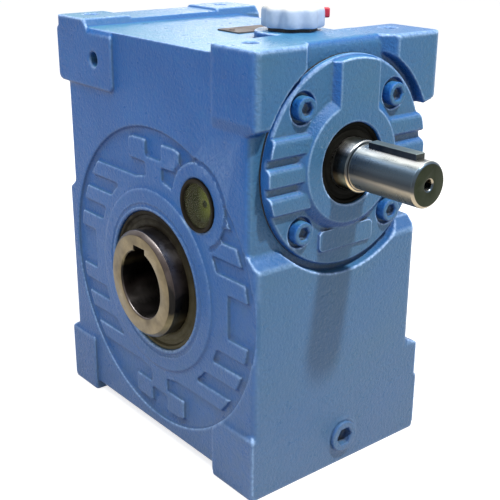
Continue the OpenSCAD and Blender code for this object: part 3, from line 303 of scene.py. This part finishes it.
def input_steel():
    """Shaft end of ground steel, coloured in bands of painted reflection with a painted
    highlight by which way its surface faces; its seal seat in warmer bands of painted
    reflection over oil-browned steel, its end face nearly black."""
    f = Finish("shaft_steel", (0.3, 0.3, 0.3), 0.24, 1.0)
    rings = f.noise(0.45, 3, 0.7, f.stretched(1, 0.02, 0.02))
    smears = f.noise(12, 3, 0.55, f.stretched(0.3, 1, 1))
    x = f.along("X")
    seat_end, shoulder, seal_face = 127.5 * MM, 151 * MM, 116 * MM
    height = f.plus(f.facing(0, 0, 1), f.varied(smears, -0.035, 0.035))
    # Painted reflection: light and dark bands and a bright highlight by how far the surface faces up.
    ground = f.bands(height, [
        (-0.88, (0.060, 0.050, 0.035)), (-0.72, (0.300, 0.250, 0.175)), (-0.50, (0.390, 0.325, 0.225)),
        (-0.20, (0.310, 0.265, 0.200)), (-0.08, (0.058, 0.060, 0.060)), (0.10, (0.036, 0.045, 0.056)),
        (0.30, (0.060, 0.083, 0.108)), (0.50, (0.060, 0.092, 0.126)), (0.66, (0.100, 0.142, 0.190)),
        (0.76, (0.170, 0.200, 0.215)), (0.85, (0.80, 0.83, 0.80)), (0.95, (1.0, 1.0, 0.98)),
        (0.99, (0.50, 0.50, 0.48))])
    # Painted reflection on the seal seat: warmer bands and a highlight over its oil-browned steel.
    oiled = f.bands(height, [
        (-0.75, (0.020, 0.020, 0.014)), (-0.62, (0.45, 0.36, 0.19)), (-0.45, (0.92, 0.68, 0.34)),
        (-0.25, (0.52, 0.37, 0.20)), (-0.10, (0.06, 0.050, 0.040)), (0.10, (0.055, 0.062, 0.062)),
        (0.35, (0.100, 0.115, 0.120)), (0.50, (0.060, 0.066, 0.068)), (0.60, (0.20, 0.20, 0.20)),
        (0.70, (0.85, 0.83, 0.80)), (0.90, (1.0, 1.0, 0.92)), (0.97, (0.30, 0.32, 0.28))])
    colour = f.blend(f.varied(rings, 0, 0.12), ground, (0.10, 0.095, 0.085))
    colour = f.blend(f.spread(x, seat_end + MM, seat_end - MM), colour, oiled)
    end = f.times(f.spread(f.facing(1, 0, 0), 0.9, 0.97), f.spread(x, shoulder - MM, shoulder + MM))
    end_colour = f.blend(f.patched(smears), (0.022, 0.028, 0.016), (0.036, 0.043, 0.026))
    colour = f.blend(end, colour, end_colour)
    inside = f.spread(x, seal_face + 0.5 * MM, seal_face - 0.5 * MM)
    colour = f.blend(inside, colour, (0.5, 0.49, 0.47))
    rough = f.plus(f.varied(smears, 0.2, 0.32), f.varied(rings, 0, 0.08))
    rough = f.plus(rough, f.times(end, 0.2))
    return f.done(colour, rough, f.bump(rings, 0.035, 0.45))


def hollow_steel():
    """Hollow shaft, turned and left with a brown film of oil; its round side is
    coloured in bands of painted reflection by which way it faces.
    """
    f = Finish("hollow_shaft_steel", (0.2, 0.17, 0.13), 0.28, 1.0)
    rings = f.noise(0.4, 3, 0.7, f.stretched(0.02, 1, 0.02))
    film = f.noise(14, 3, 0.6)
    height = f.plus(f.facing(0.25, 0, 0.97), f.varied(film, -0.08, 0.08))
    # Painted reflection: dark and light bands on the round side by how far it faces up.
    round_side = f.bands(height, [
        (-0.8, (0.012, 0.010, 0.008)), (-0.45, (0.045, 0.036, 0.020)), (-0.2, (0.14, 0.115, 0.062)),
        (0.0, (0.007, 0.007, 0.007)), (0.3, (0.009, 0.009, 0.010)), (0.55, (0.085, 0.068, 0.064)),
        (0.72, (0.16, 0.135, 0.130)), (0.86, (0.42, 0.38, 0.36)), (0.97, (0.09, 0.08, 0.078))])
    face = f.blend(f.patched(film), (0.20, 0.158, 0.092), (0.105, 0.082, 0.050))
    ends = f.add("ShaderNodeMath", {0: f.facing(0, 1, 0)}, operation="ABSOLUTE").outputs["Value"]
    colour = f.blend(f.spread(ends, 0.85, 0.97), round_side, face)
    colour = f.blend(f.varied(rings, 0, 0.25), colour, (0.05, 0.042, 0.034))
    rough = f.plus(f.varied(film, 0.22, 0.38), f.varied(rings, 0, 0.08))
    return f.done(colour, rough, f.bump(rings, 0.04, 0.5))


def dark_key_steel(name):
    """Cold drawn key steel with a dark mill skin, its top painted pale as painted
    light and its sides and underside painted dark as painted shade.
    """
    f = Finish(name, (0.1, 0.11, 0.1), 0.36, 0.9)
    drawn = f.noise(0.5, 3, 0.6, f.stretched(0.05, 1, 1))
    patches = f.noise(6, 3, 0.6)
    # Painted light and shade: pale where the key faces up, dark where it faces sideways and down.
    colour = f.bands(f.facing(0.1, 0, 0.99), [
        (-0.5, (0.010, 0.012, 0.014)), (0.04, (0.018, 0.026, 0.042)), (0.12, (0.036, 0.042, 0.040)),
        (0.6, (0.30, 0.37, 0.38)), (1.0, (0.34, 0.41, 0.41))])
    colour = f.blend(f.spread(patches, 0.4, 0.75, 0, 0.2), colour, (0.06, 0.06, 0.055))
    return f.done(colour, f.varied(patches, 0.3, 0.48), f.bump(drawn, 0.03, 0.5))


def seal_rubber(name):
    """Rubber of the left seal, olive, darker towards its top and lighter towards its foot."""
    f = Finish(name, (0.02, 0.017, 0.012), 0.5, Specular_IOR_Level=0.06)
    blotches = f.noise(7, 4, 0.65)
    pores = f.noise(0.5, 2, 0.6)
    height = f.plus(f.spread(f.along("Z"), -50 * MM, 50 * MM), f.varied(blotches, -0.15, 0.15))
    colour = f.blend(height, (0.085, 0.074, 0.040), (0.017, 0.014, 0.010))
    return f.done(colour, f.varied(blotches, 0.38, 0.62), f.bump(pores, 0.04, 0.5))


def oiled_rubber(name, colour, shine):
    """Black rubber or plastic with a film of oil and a little dust."""
    f = Finish(name, colour, 0.5, Specular_IOR_Level=shine)
    dust = f.noise(5, 4, 0.65)
    pores = f.noise(0.5, 2, 0.6)
    shade = f.blend(f.spread(dust, 0.5, 0.8, 0, 0.7), colour, tuple(value * 2.2 for value in colour))
    return f.done(shade, f.varied(dust, 0.38, 0.62), f.bump(pores, 0.04, 0.5))


def gasket_paper(name):
    """Black gasket paper with a dull fibre."""
    f = Finish(name, (0.016, 0.015, 0.014), 0.75)
    fibre = f.noise(1.2, 4, 0.7)
    shade = f.blend(f.spread(fibre, 0.4, 0.7), (0.01, 0.01, 0.01), (0.05, 0.047, 0.042))
    return f.done(shade, f.varied(fibre, 0.62, 0.85), f.bump(fibre, 0.1, 0.6))


def moulded_plastic(name, colour, dusty, roughness):
    """Injection moulded plastic with a fine skin and a little dust."""
    f = Finish(name, colour, roughness)
    dust = f.noise(12, 4, 0.6)
    skin = f.noise(1.0, 2, 0.5)
    shade = f.blend(f.spread(dust, 0.4, 0.75), colour, dusty)
    rough = f.varied(dust, roughness * 0.85, roughness * 1.25)
    return f.done(shade, rough, f.bump(skin, 0.05, 0.4))


def cap_plastic():
    """White moulding with smudges, its sides painted a cooler, greyer blue than its top
    as painted shade.
    """
    f = Finish("vent_white_plastic", (0.8, 0.8, 0.8), 0.42, Specular_IOR_Level=0.25)
    smudges = f.noise(9, 4, 0.6)
    skin = f.noise(1.0, 2, 0.5)
    # Painted shade: the sides are painted bluer and darker than the top.
    side = f.blend(f.patched(smudges), (0.50, 0.62, 0.80), (0.38, 0.49, 0.67))
    top = f.blend(f.patched(smudges), (0.66, 0.66, 0.64), (0.54, 0.55, 0.55))
    colour = f.blend(f.spread(f.facing(0, 0, 1), 0.2, 0.8), side, top)
    return f.done(colour, f.varied(smudges, 0.34, 0.52), f.bump(skin, 0.05, 0.4))


def reflector_plastic():
    """Olive plastic dish with stains, in painted shadow towards its rear where the
    ring's depth shades it, darker towards its foot and dark round its middle hole.
    """
    f = Finish("reflector_olive", (0.16, 0.18, 0.05), 0.6, Specular_IOR_Level=0.04)
    stain = f.noise(4, 3, 0.6)
    rear_shadow, dark_foot = (0.006, 0.008, 0.005), (0.020, 0.027, 0.016)
    hole_middle = (SIGHT_X, LEFT_Y + 6.5 * MM, SIGHT_Z)
    # Painted shadow: the rear of the dish, shaded by the depth of the ring, is painted nearly black.
    away = f.spread(f.along("X"), SIGHT_X - 7 * MM, SIGHT_X + 2 * MM)
    colour = f.blend(f.patched(stain), (0.135, 0.155, 0.040), (0.20, 0.225, 0.07))
    colour = f.blend(away, rear_shadow, colour)
    low = f.spread(f.along("Z"), SIGHT_Z - 12 * MM, SIGHT_Z - 4 * MM)
    colour = f.blend(low, dark_foot, colour)
    from_hole = f.add("ShaderNodeVectorMath", {0: f.place, 1: hole_middle},
                      operation="DISTANCE").outputs["Value"]
    colour = f.blend(f.spread(from_hole, 2.4 * MM, 3.2 * MM), (0.006, 0.007, 0.005), colour)
    return f.done(colour, f.varied(stain, 0.4, 0.6), f.bump(stain, 0.05, 0.4))


def sight_glass(name):
    """Clear lens with a film of oil behind it."""
    f = Finish(name, (0.80, 0.82, 0.60), 0.01, Transmission_Weight=0.97, IOR=1.05)
    film = f.noise(6, 3, 0.6)
    shade = f.blend(f.patched(film), (0.82, 0.84, 0.62), (0.66, 0.68, 0.44))
    return f.done(shade, f.varied(film, 0.0, 0.02), f.bump(film, 0.05, 0.15))


def bare_plate(name):
    """Thin blank aluminium plate, rolled along one way and smeared with oil."""
    f = Finish(name, (0.13, 0.12, 0.12), 0.6, 0.2, Specular_IOR_Level=0.1)
    rolled = f.noise(0.4, 3, 0.6, f.stretched(1, 0.03, 1))
    smears = f.noise(16, 4, 0.6)
    colour = f.blend(f.patched(smears), (0.15, 0.13, 0.125), (0.085, 0.072, 0.066))
    return f.done(colour, f.varied(smears, 0.5, 0.68), f.bump(rolled, 0.02, 0.5))


def cast_iron(name):
    """Bare grey iron with its cast skin."""
    f = Finish(name, (0.13, 0.13, 0.13), 0.5, 0.75)
    grain = f.noise(1.2, 4, 0.65)
    patches = f.noise(18, 3, 0.6)
    colour = f.blend(f.patched(patches), (0.10, 0.10, 0.105), (0.19, 0.185, 0.175))
    return f.done(colour, f.varied(grain, 0.4, 0.6), f.bump(grain, 0.12, 0.5))


def gear_bronze(name):
    """Cast bronze with hobbed flanks."""
    f = Finish(name, (0.56, 0.35, 0.15), 0.3, 1.0)
    hobbed = f.noise(0.5, 3, 0.6, f.stretched(1, 0.1, 1))
    patches = f.noise(12, 4, 0.6)
    colour = f.blend(f.patched(patches), (0.60, 0.38, 0.17), (0.42, 0.25, 0.10))
    return f.done(colour, f.varied(patches, 0.22, 0.4), f.bump(hobbed, 0.03, 0.5))


# Tools

def nothing_selected():
    if bpy.context.object and bpy.context.object.mode != "OBJECT":
        bpy.ops.object.mode_set(mode="OBJECT")
    bpy.ops.object.select_all(action="DESELECT")


def only(piece):
    nothing_selected()
    piece.select_set(True)
    bpy.context.view_layer.objects.active = piece


def edit_all(piece):
    only(piece)
    bpy.ops.object.mode_set(mode="EDIT")
    bpy.ops.mesh.select_all(action="SELECT")


def pick(piece, wanted):
    """Select the points of a mesh in edit mode for which wanted(place) holds."""
    bpy.ops.mesh.select_mode(type="VERT")
    bpy.ops.mesh.select_all(action="DESELECT")
    bpy.ops.object.mode_set(mode="OBJECT")
    for vertex in piece.data.vertices:
        vertex.select = wanted(vertex.co)
    bpy.ops.object.mode_set(mode="EDIT")


def finish_mesh(piece, angle=35):
    """Merge seams and poles, turn every face outwards, shade smooth."""
    edit_all(piece)
    bpy.ops.mesh.remove_doubles(threshold=SEAM)
    bpy.ops.mesh.normals_make_consistent(inside=False)
    bpy.ops.object.mode_set(mode="OBJECT")
    bpy.ops.object.shade_smooth_by_angle(angle=math.radians(angle))


def modify(piece, kind, **settings):
    """Add a modifier and apply it at once."""
    only(piece)
    made = piece.modifiers.new(kind.lower(), kind)
    for key, value in settings.items():
        setattr(made, key, value)
    bpy.ops.object.modifier_apply(modifier=made.name)


def soften(piece, width, segments=2, angle=30):
    """Break the sharp edges of a mesh."""
    modify(piece, "BEVEL", width=width * MM, segments=segments, limit_method="ANGLE",
           angle_limit=math.radians(angle), harden_normals=False)


def settle(piece, place, turn=(0, 0, 0)):
    """Carry a piece to its place, turned, with the place kept in its mesh."""
    only(piece)
    piece.rotation_euler = turn
    piece.location = place
    bpy.ops.object.transform_apply(location=True, rotation=True, scale=True)


def copy_of(piece):
    """A second piece of the same form with its own mesh."""
    only(piece)
    bpy.ops.object.duplicate(linked=False)
    return bpy.context.object


def joined(pieces):
    """All the given pieces as one."""
    nothing_selected()
    for piece in pieces:
        piece.select_set(True)
    bpy.context.view_layer.objects.active = pieces[0]
    bpy.ops.object.join()
    return bpy.context.object


def mount(piece, name, material, stands_for, body="casing"):
    """Name a finished piece, paint it and hang it on its body."""
    piece.name = name
    piece.data.name = name
    piece.data.materials.clear()
    piece.data.materials.append(material)
    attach(piece, body)
    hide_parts(stands_for)
    return piece


def turned_piece(profile):
    """Piece turned about Z from a closed profile of (radius, height) in mm."""
    nothing_selected()
    bpy.ops.mesh.primitive_plane_add(size=MM)
    piece = bpy.context.object
    edit_all(piece)
    bpy.ops.mesh.select_mode(type="VERT")
    bpy.ops.mesh.merge(type="CENTER")
    bpy.ops.transform.translate(value=(profile[0][0] * MM, 0, profile[0][1] * MM))
    for here, there in zip(profile, profile[1:] + profile[:1]):
        step = ((there[0] - here[0]) * MM, 0, (there[1] - here[1]) * MM)
        bpy.ops.mesh.extrude_region_move(TRANSFORM_OT_translate={"value": step})
    bpy.ops.mesh.select_all(action="SELECT")
    bpy.ops.mesh.remove_doubles(threshold=SEAM)
    bpy.ops.mesh.spin(steps=TURNED_STEPS, angle=FULL_TURN, center=(0, 0, 0), axis=(0, 0, 1))
    finish_mesh(piece)
    return piece


def socket_screw(head_r, head_h, socket, socket_depth, shank_r, length, edge):
    """Socket head cap screw, its head standing on z = 0."""
    corner_r = socket / math.sqrt(3) * MM
    nothing_selected()
    bpy.ops.mesh.primitive_circle_add(vertices=SCREW_SIDES, radius=shank_r * MM, fill_type="NGON",
                                      location=(0, 0, -length * MM))
    screw = bpy.context.object
    only(screw)
    bpy.ops.object.transform_apply(location=True, rotation=True, scale=True)
    edit_all(screw)
    bpy.ops.mesh.extrude_region_move(TRANSFORM_OT_translate={"value": (0, 0, length * MM)})
    grow = head_r / shank_r
    bpy.ops.mesh.extrude_region_move(TRANSFORM_OT_translate={"value": (0, 0, 0)})
    bpy.ops.transform.resize(value=(grow, grow, 1), center_override=(0, 0, 0))
    bpy.ops.mesh.extrude_region_move(TRANSFORM_OT_translate={"value": (0, 0, head_h * MM)})
    bpy.ops.mesh.delete(type="ONLY_FACE")
    bpy.ops.mesh.primitive_circle_add(vertices=6, radius=corner_r, location=(0, 0, head_h * MM))
    just_under_top = (head_h - 0.01) * MM
    just_past_socket = corner_r + 0.1 * MM
    pick(screw, lambda at: at.z > just_under_top)
    bpy.ops.mesh.bridge_edge_loops()
    pick(screw, lambda at: at.z > just_under_top and at.xy.length < just_past_socket)
    bpy.ops.mesh.extrude_region_move(TRANSFORM_OT_translate={"value": (0, 0, -socket_depth * MM)})
    bpy.ops.mesh.edge_face_add()
    finish_mesh(screw)
    soften(screw, edge, segments=3, angle=50)
    finish_mesh(screw, 40)
    modify(screw, "WEIGHTED_NORMAL", weight=80, keep_sharp=True)
    return screw


def pick_sharp_edges(piece, wanted):
    """Select the sharp edges of a mesh for whose middle wanted(place) holds."""
    edit_all(piece)
    bpy.ops.mesh.select_mode(type="EDGE")
    bpy.ops.mesh.select_all(action="DESELECT")
    bpy.ops.mesh.edges_select_sharp(sharpness=math.radians(30))
    bpy.ops.object.mode_set(mode="OBJECT")
    mesh = piece.data
    for edge in mesh.edges:
        ends = [mesh.vertices[i].co for i in edge.vertices]
        edge.select = edge.select and wanted((ends[0] + ends[1]) / 2)
    bpy.ops.object.mode_set(mode="EDIT")


def from_frame(node):
    """A merged copy of a piece of the frame, free to be worked on."""
    only(NODES[node])
    bpy.ops.object.duplicate(linked=False)
    piece = bpy.context.object
    for key in [key for key in piece.keys() if key.startswith("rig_")]:
        del piece[key]
    piece.parent = None
    edit_all(piece)
    bpy.ops.mesh.remove_doubles(threshold=FRAME_SEAM)
    bpy.ops.object.mode_set(mode="OBJECT")
    return piece


def edged(node, material, body, width, wanted=lambda at: True, flat=False):
    """A piece of the frame with its wanted sharp edges broken, and shaded flat on
    its flat faces where flat holds."""
    piece = from_frame(node)
    edit_all(piece)
    bpy.ops.mesh.dissolve_limited(angle_limit=math.radians(0.5))
    pick_sharp_edges(piece, wanted)
    bpy.ops.mesh.bevel(offset=width * MM, segments=2, affect="EDGES")
    bpy.ops.object.mode_set(mode="OBJECT")
    finish_mesh(piece, 35)
    if flat:
        modify(piece, "WEIGHTED_NORMAL", weight=80, keep_sharp=True)
    return mount(piece, node + "_edged", material, node, body)


# Castings

def in_ring(at):
    """True in the cast ring of the left side, whose rib walls are drafted."""
    return at.y < LEFT_Y + RING_DEPTH and RING_IN_R < at.xz.length < RING_OUT_R


def press_groove(piece, centre, radius, half_width, depth):
    """Press a shallow round groove into the raised parts of the left side."""
    def on_groove(at):
        out = math.hypot(at.x - centre[0], at.z - centre[1])
        on_face = LEFT_Y - BOSS_PROUD < at.y < LEFT_Y + FACE_PLAY
        beyond_hub = centre == (0, 0) or at.xz.length > HUB_EDGE_R
        return on_face and beyond_hub and abs(out - radius) < half_width
    edit_all(piece)
    pick(piece, on_groove)
    bpy.ops.transform.translate(value=(0, depth, 0))
    bpy.ops.mesh.vertices_smooth(factor=0.5, repeat=2)
    bpy.ops.object.mode_set(mode="OBJECT")


def draft_left_side(piece):
    """Slope the rib walls of the ring, and groove the side round boss and hub."""
    edit_all(piece)
    pick(piece, in_ring)
    bpy.ops.mesh.vertices_smooth(factor=0.5, repeat=DRAFTING)
    bpy.ops.object.mode_set(mode="OBJECT")
    press_groove(piece, (SIGHT_X, SIGHT_Z), **BOSS_GROOVE)
    press_groove(piece, (0, 0), **HUB_GROOVE)


def casting(node, material, voxel, limit, shaping=None):
    """A casting's CAD form with cast fillets in its corners and softened edges,
    built of voxels in millimetres and kept under a limit of triangles."""
    piece = from_frame(node)
    modify(piece, "REMESH", mode="VOXEL", voxel_size=voxel * MM)
    modify(piece, "SMOOTH", factor=0.5, iterations=EASING)
    if shaping:
        shaping(piece)
    triangles = 2 * len(piece.data.polygons)
    if triangles > limit:
        modify(piece, "DECIMATE", ratio=limit / triangles)
    only(piece)
    bpy.ops.object.shade_smooth()
    modify(piece, "WEIGHTED_NORMAL", weight=60)
    return mount(piece, node + "_casting", material, node)


# Fittings

def screw_set(name, node, material, first, places, turn):
    """Copies of one screw at every place in millimetres, joined to one piece."""
    screws = [first] + [copy_of(first) for _ in places[1:]]
    for screw, place in zip(screws, places):
        settle(screw, [value * MM for value in place], turn)
    return mount(joined(screws), name, material, node)


def shaft_seal(node, material, size, place, turn):
    """Shaft seal with a pressed rim, a hollow and a dust lip."""
    in_r, out_r, width = size
    wall = out_r - in_r
    back = -0.65 * width
    piece = turned_piece([
        (out_r, -width), (out_r, -0.4), (out_r - 0.4, 0), (out_r - 0.2 * wall, 0),
        (out_r - 0.24 * wall, -0.6), (out_r - 0.30 * wall, -1.6), (out_r - 0.5 * wall, -1.7),
        (out_r - 0.56 * wall, -1.1), (in_r + 0.3 * wall, -0.5), (in_r + 0.1 * wall, -0.7),
        (in_r, -1.6), (in_r, -2.4), (in_r + 0.12 * wall, -3.2), (in_r + 0.3 * wall, back),
        (out_r - 0.25 * wall, back), (out_r - 0.2 * wall, -width)])
    settle(piece, place, turn)
    return mount(piece, node + "_lips", material, node)


def sight_glass_set():
    """Ring, lens and reflector of the oil sight glass."""
    place = (SIGHT_X, LEFT_Y, SIGHT_Z)
    ring = turned_piece(SIGHT_RING_OUTLINE)
    settle(ring, place, LEFT)
    mount(ring, "sight_ring", oiled_rubber("sight_ring_plastic", (0.014, 0.011, 0.007), 0.06),
          "sight_glass_ring")
    lens = turned_piece(SIGHT_LENS_OUTLINE)
    settle(lens, place, LEFT)
    mount(lens, "sight_lens", sight_glass("sight_lens_glass"), "sight_glass_lens")
    dish = turned_piece(REFLECTOR_OUTLINE)
    settle(dish, place, LEFT)
    mount(dish, "sight_reflector", reflector_plastic(), "sight_glass_reflector")


def press_hollow(cap, step):
    """Draw in the cap's side where it lies step parts from the middle of a hollow."""
    lobe = FULL_TURN / LOBES

    def in_step(at):
        turn = (math.atan2(at.y, at.x) - 0.5 * lobe) % lobe
        away = min(turn, lobe - turn) / lobe
        return at.xy.length > CAP_SIDE_R and round(2 * HOLLOW_STEPS * away) == step

    pick(cap, in_step)
    hollow = (0.5 + 0.5 * math.cos(math.pi * step / HOLLOW_STEPS)) ** 1.5
    shrink = 1 - hollow * LOBE_DEPTH / CAP_R
    bpy.ops.transform.resize(value=(shrink, shrink, 1), center_override=(0, 0, 0))


def vent_set():
    """Lobed cap of the vent, and the tab that is pulled out of it."""
    place = Vector((VENT_X, 0, VENT_Z))
    cap = turned_piece(CAP_OUTLINE)
    edit_all(cap)
    for step in range(HOLLOW_STEPS):
        press_hollow(cap, step)
    finish_mesh(cap, 60)
    settle(cap, place)
    mount(cap, "vent_cap_lobed", cap_plastic(), "vent_cap")
    nothing_selected()
    bpy.ops.mesh.primitive_cube_add(size=MM)
    tab = bpy.context.object
    edit_all(tab)
    bpy.ops.transform.resize(value=TAB_SIZE, center_override=(0, 0, 0))
    finish_mesh(tab)
    soften(tab, TAB_EDGE, segments=3)
    finish_mesh(tab, 50)
    out = Vector((TAB_OUT * math.cos(TAB_TURN), TAB_OUT * math.sin(TAB_TURN), TAB_RISE))
    settle(tab, place + out, (0, 0, TAB_TURN))
    mount(tab, "vent_tab_rounded",
          moulded_plastic("tab_red_plastic", (0.60, 0.02, 0.05), (0.45, 0.02, 0.05), 0.35),
          "vent_tab", "tab")


def screws_and_plug(paint):
    """Screws of the three covers and the drain plug, painted over with the casing."""
    corners = [(y, z) for y in (-1, 1) for z in (-1, 1)]
    screw_set("input_cover_screw_set", "input_cover_screws", paint, socket_screw(**COVER_SCREW),
              [(INPUT_SCREW_X, INPUT_SCREW_OUT * y, INPUT_H + INPUT_SCREW_OUT * z)
               for y, z in corners], FRONT)
    turns = [FULL_TURN * (i + 0.5) / SIDE_SCREWS for i in range(SIDE_SCREWS)]
    screw_set("side_cover_screw_set", "side_cover_screws", paint, socket_screw(**SMALL_SCREW),
              [(SIDE_SCREW_R * math.cos(turn), SIDE_SCREW_Y, SIDE_SCREW_R * math.sin(turn))
               for turn in turns], RIGHT)
    diagonal = REAR_SCREW_R * math.sqrt(0.5)
    screw_set("rear_cover_screw_set", "rear_cover_screws", paint, socket_screw(**SMALL_SCREW),
              [(REAR_SCREW_X, diagonal * y, INPUT_H + diagonal * z) for y, z in corners], REAR)
    plug = socket_screw(**DRAIN_PLUG)
    settle(plug, PLUG_PLACE, FRONT)
    mount(plug, "drain_plug_socketed", paint, "drain_plug")


def seals():
    """Shaft seals of the input shaft and of both ends of the hollow shaft."""
    shaft_seal("input_seal", oiled_rubber("input_seal_rubber", (0.006, 0.006, 0.005), 0.02),
               INPUT_SEAL, (INPUT_SEAL_X, 0, INPUT_Z), FRONT)
    shaft_seal("output_seal_left", seal_rubber("left_seal_rubber"),
               OUTPUT_SEAL, (0, -OUTPUT_SEAL_Y, 0), LEFT)
    shaft_seal("output_seal_right", oiled_rubber("right_seal_rubber", (0.012, 0.011, 0.010), 0.12),
               OUTPUT_SEAL, (0, OUTPUT_SEAL_Y, 0), RIGHT)


def shafts_key_and_plate():
    """Shafts with their outer edges broken, the key and the blank plate."""
    edged("worm_shaft", input_steel(), "input", width=0.35,
          wanted=lambda at: at.x > SHAFT_END_FROM)
    edged("hollow_shaft", hollow_steel(), "output", width=0.4,
          wanted=lambda at: abs(at.y) > HOLLOW_END_FROM and at.xz.length > HOLLOW_INSIDE_R)
    edged("input_key", dark_key_steel("input_key_steel"), "input",
          width=0.5, flat=True)
    edged("rating_plate", bare_plate("plate_aluminium"), "casing",
          width=0.2, flat=True)


# Studio

def set_camera():
    data = bpy.data.cameras.new("camera")
    data.sensor_fit = "HORIZONTAL"
    data.sensor_width = SENSOR_W
    data.lens = CAMERA_LENS
    data.clip_start, data.clip_end = 0.01, 30
    camera = bpy.data.objects.new("camera", data)
    bpy.context.scene.collection.objects.link(camera)
    view = Vector(CAMERA_VIEW).normalized()
    level = view.cross(Vector((0, 0, 1))).normalized()
    upright = level.cross(view)
    right = math.cos(CAMERA_ROLL) * level + math.sin(CAMERA_ROLL) * upright
    up = -math.sin(CAMERA_ROLL) * level + math.cos(CAMERA_ROLL) * upright
    turn = Matrix((right, up, -view)).transposed().to_4x4()
    camera.matrix_world = Matrix.Translation(CAMERA_PLACE) @ turn
    bpy.context.scene.camera = camera


def seen_directly(tree):
    """1 for rays that reach the eye straight, or by gloss or glass."""
    path = tree.nodes.new("ShaderNodeLightPath")
    share = path.outputs["Is Camera Ray"]
    for other in ("Is Glossy Ray", "Is Transmission Ray"):
        widest = tree.nodes.new("ShaderNodeMath")
        widest.operation = "MAXIMUM"
        tree.links.new(share, widest.inputs[0])
        tree.links.new(path.outputs[other], widest.inputs[1])
        share = widest.outputs["Value"]
    return share


def set_world(ambient):
    world = bpy.data.worlds.new("studio_air")
    world.use_nodes = True
    tree = world.node_tree
    air = tree.nodes["Background"]
    air.inputs["Color"].default_value = (1, 1, 1, 1)
    strength = tree.nodes.new("ShaderNodeMapRange")
    strength.inputs["To Min"].default_value = ambient
    strength.inputs["To Max"].default_value = 1.0
    tree.links.new(seen_directly(tree), strength.inputs["Value"])
    tree.links.new(strength.outputs["Result"], air.inputs["Strength"])
    bpy.context.scene.world = world


def set_floor():
    """White floor that keeps the shadow of the reducer."""
    nothing_selected()
    bpy.ops.mesh.primitive_plane_add(size=12, location=(0, 0, FOOT_Z))
    floor = bpy.context.object
    floor.name = "floor"
    pale = bpy.data.materials.new("pale_floor")
    pale.use_nodes = True
    tree = pale.node_tree
    shader = tree.nodes["Principled BSDF"]
    shader.inputs["Base Color"].default_value = (0.62, 0.62, 0.62, 1)
    shader.inputs["Roughness"].default_value = 0.9
    shader.inputs["Specular IOR Level"].default_value = 0.1
    shader.inputs["Emission Color"].default_value = (1, 1, 1, 1)
    glow = tree.nodes.new("ShaderNodeMapRange")
    glow.inputs["To Min"].default_value = 0.0
    glow.inputs["To Max"].default_value = 0.78
    tree.links.new(seen_directly(tree), glow.inputs["Value"])
    tree.links.new(glow.outputs["Result"], shader.inputs["Emission Strength"])
    floor.data.materials.append(pale)


def lamp(name, place, aim, size, power, colour=(1, 1, 1)):
    """Soft lamp, kept out of the sight glass, where it would only make noise."""
    data = bpy.data.lights.new(name, "AREA")
    data.shape = "DISK"
    data.size = size
    data.energy = power
    data.color = colour
    light = bpy.data.objects.new(name, data)
    bpy.context.scene.collection.objects.link(light)
    light.visible_transmission = False
    light.location = place
    light.rotation_euler = (Vector(aim) - Vector(place)).to_track_quat("-Z", "Y").to_euler()


def set_studio():
    set_world(ambient=0.28)
    set_floor()
    lamp("key_light", place=(0.838, 0.191, 1.467), aim=(0.115, -0.015, 0.0),
         size=0.1, power=30, colour=(1, 0.97, 0.93))
    lamp("top_light", place=(-0.1, -0.75, 1.75), aim=(0, 0, 0.05),
         size=0.9, power=15, colour=(0.94, 0.97, 1))
    lamp("front_left_fill", place=(0.55, -1.35, 0.05), aim=(0.03, -0.08, -0.06), size=0.8, power=2.0)
    lamp("sheen_light", place=(-1.06, 0.82, 0.56), aim=(0.085, -0.075, 0.18), size=0.34, power=1.7)


# Build

set_camera()
set_studio()

enamel = blue_enamel("blue_enamel")
enamel_small = blue_enamel("blue_enamel_small", dense=False)

casting("housing", enamel, voxel=0.95, limit=190000, shaping=draft_left_side)
casting("input_cover", enamel, voxel=0.6, limit=90000)
casting("side_cover", enamel, voxel=0.9, limit=90000)
casting("rear_cover", enamel, voxel=0.8, limit=40000)
screws_and_plug(enamel_small)
seals()
sight_glass_set()
vent_set()
shafts_key_and_plate()

# Pieces of the frame that keep their CAD mesh and only get a finish
carried_over = {
    "wheel_spacer": ground_steel("spacer_steel", (0.55, 0.54, 0.52), 0.3, "Y"),
    "wheel_key": dark_key_steel("wheel_key_steel"),
    "wheel_hub": cast_iron("hub_iron"),
    "wheel_rim": gear_bronze("rim_bronze"),
    "side_cover_gasket": gasket_paper("side_gasket_paper"),
    "input_cover_gasket": gasket_paper("input_gasket_paper"),
    "rear_cover_gasket": gasket_paper("rear_gasket_paper"),
    "vent_base": moulded_plastic("vent_black_plastic", (0.012, 0.012, 0.013),
                                 (0.035, 0.034, 0.032), 0.5),
    "plate_rivets": bare_plate("rivet_aluminium"),
}
output_race = ground_steel("race_steel", (0.62, 0.62, 0.63), 0.22, "Y")
input_race = ground_steel("taper_race_steel", (0.62, 0.62, 0.63), 0.22, "X")
cage_brass = gear_bronze("cage_brass")
for node in NODES:
    if "_cage" in node:
        carried_over[node] = cage_brass
    elif "output_bearing" in node:
        carried_over[node] = output_race
    elif "bearing" in node:
        carried_over[node] = input_race
for node, material in carried_over.items():
    NODES[node].data.materials.clear()
    NODES[node].data.materials.append(material)

bpy.context.scene.view_settings.view_transform = "Standard"
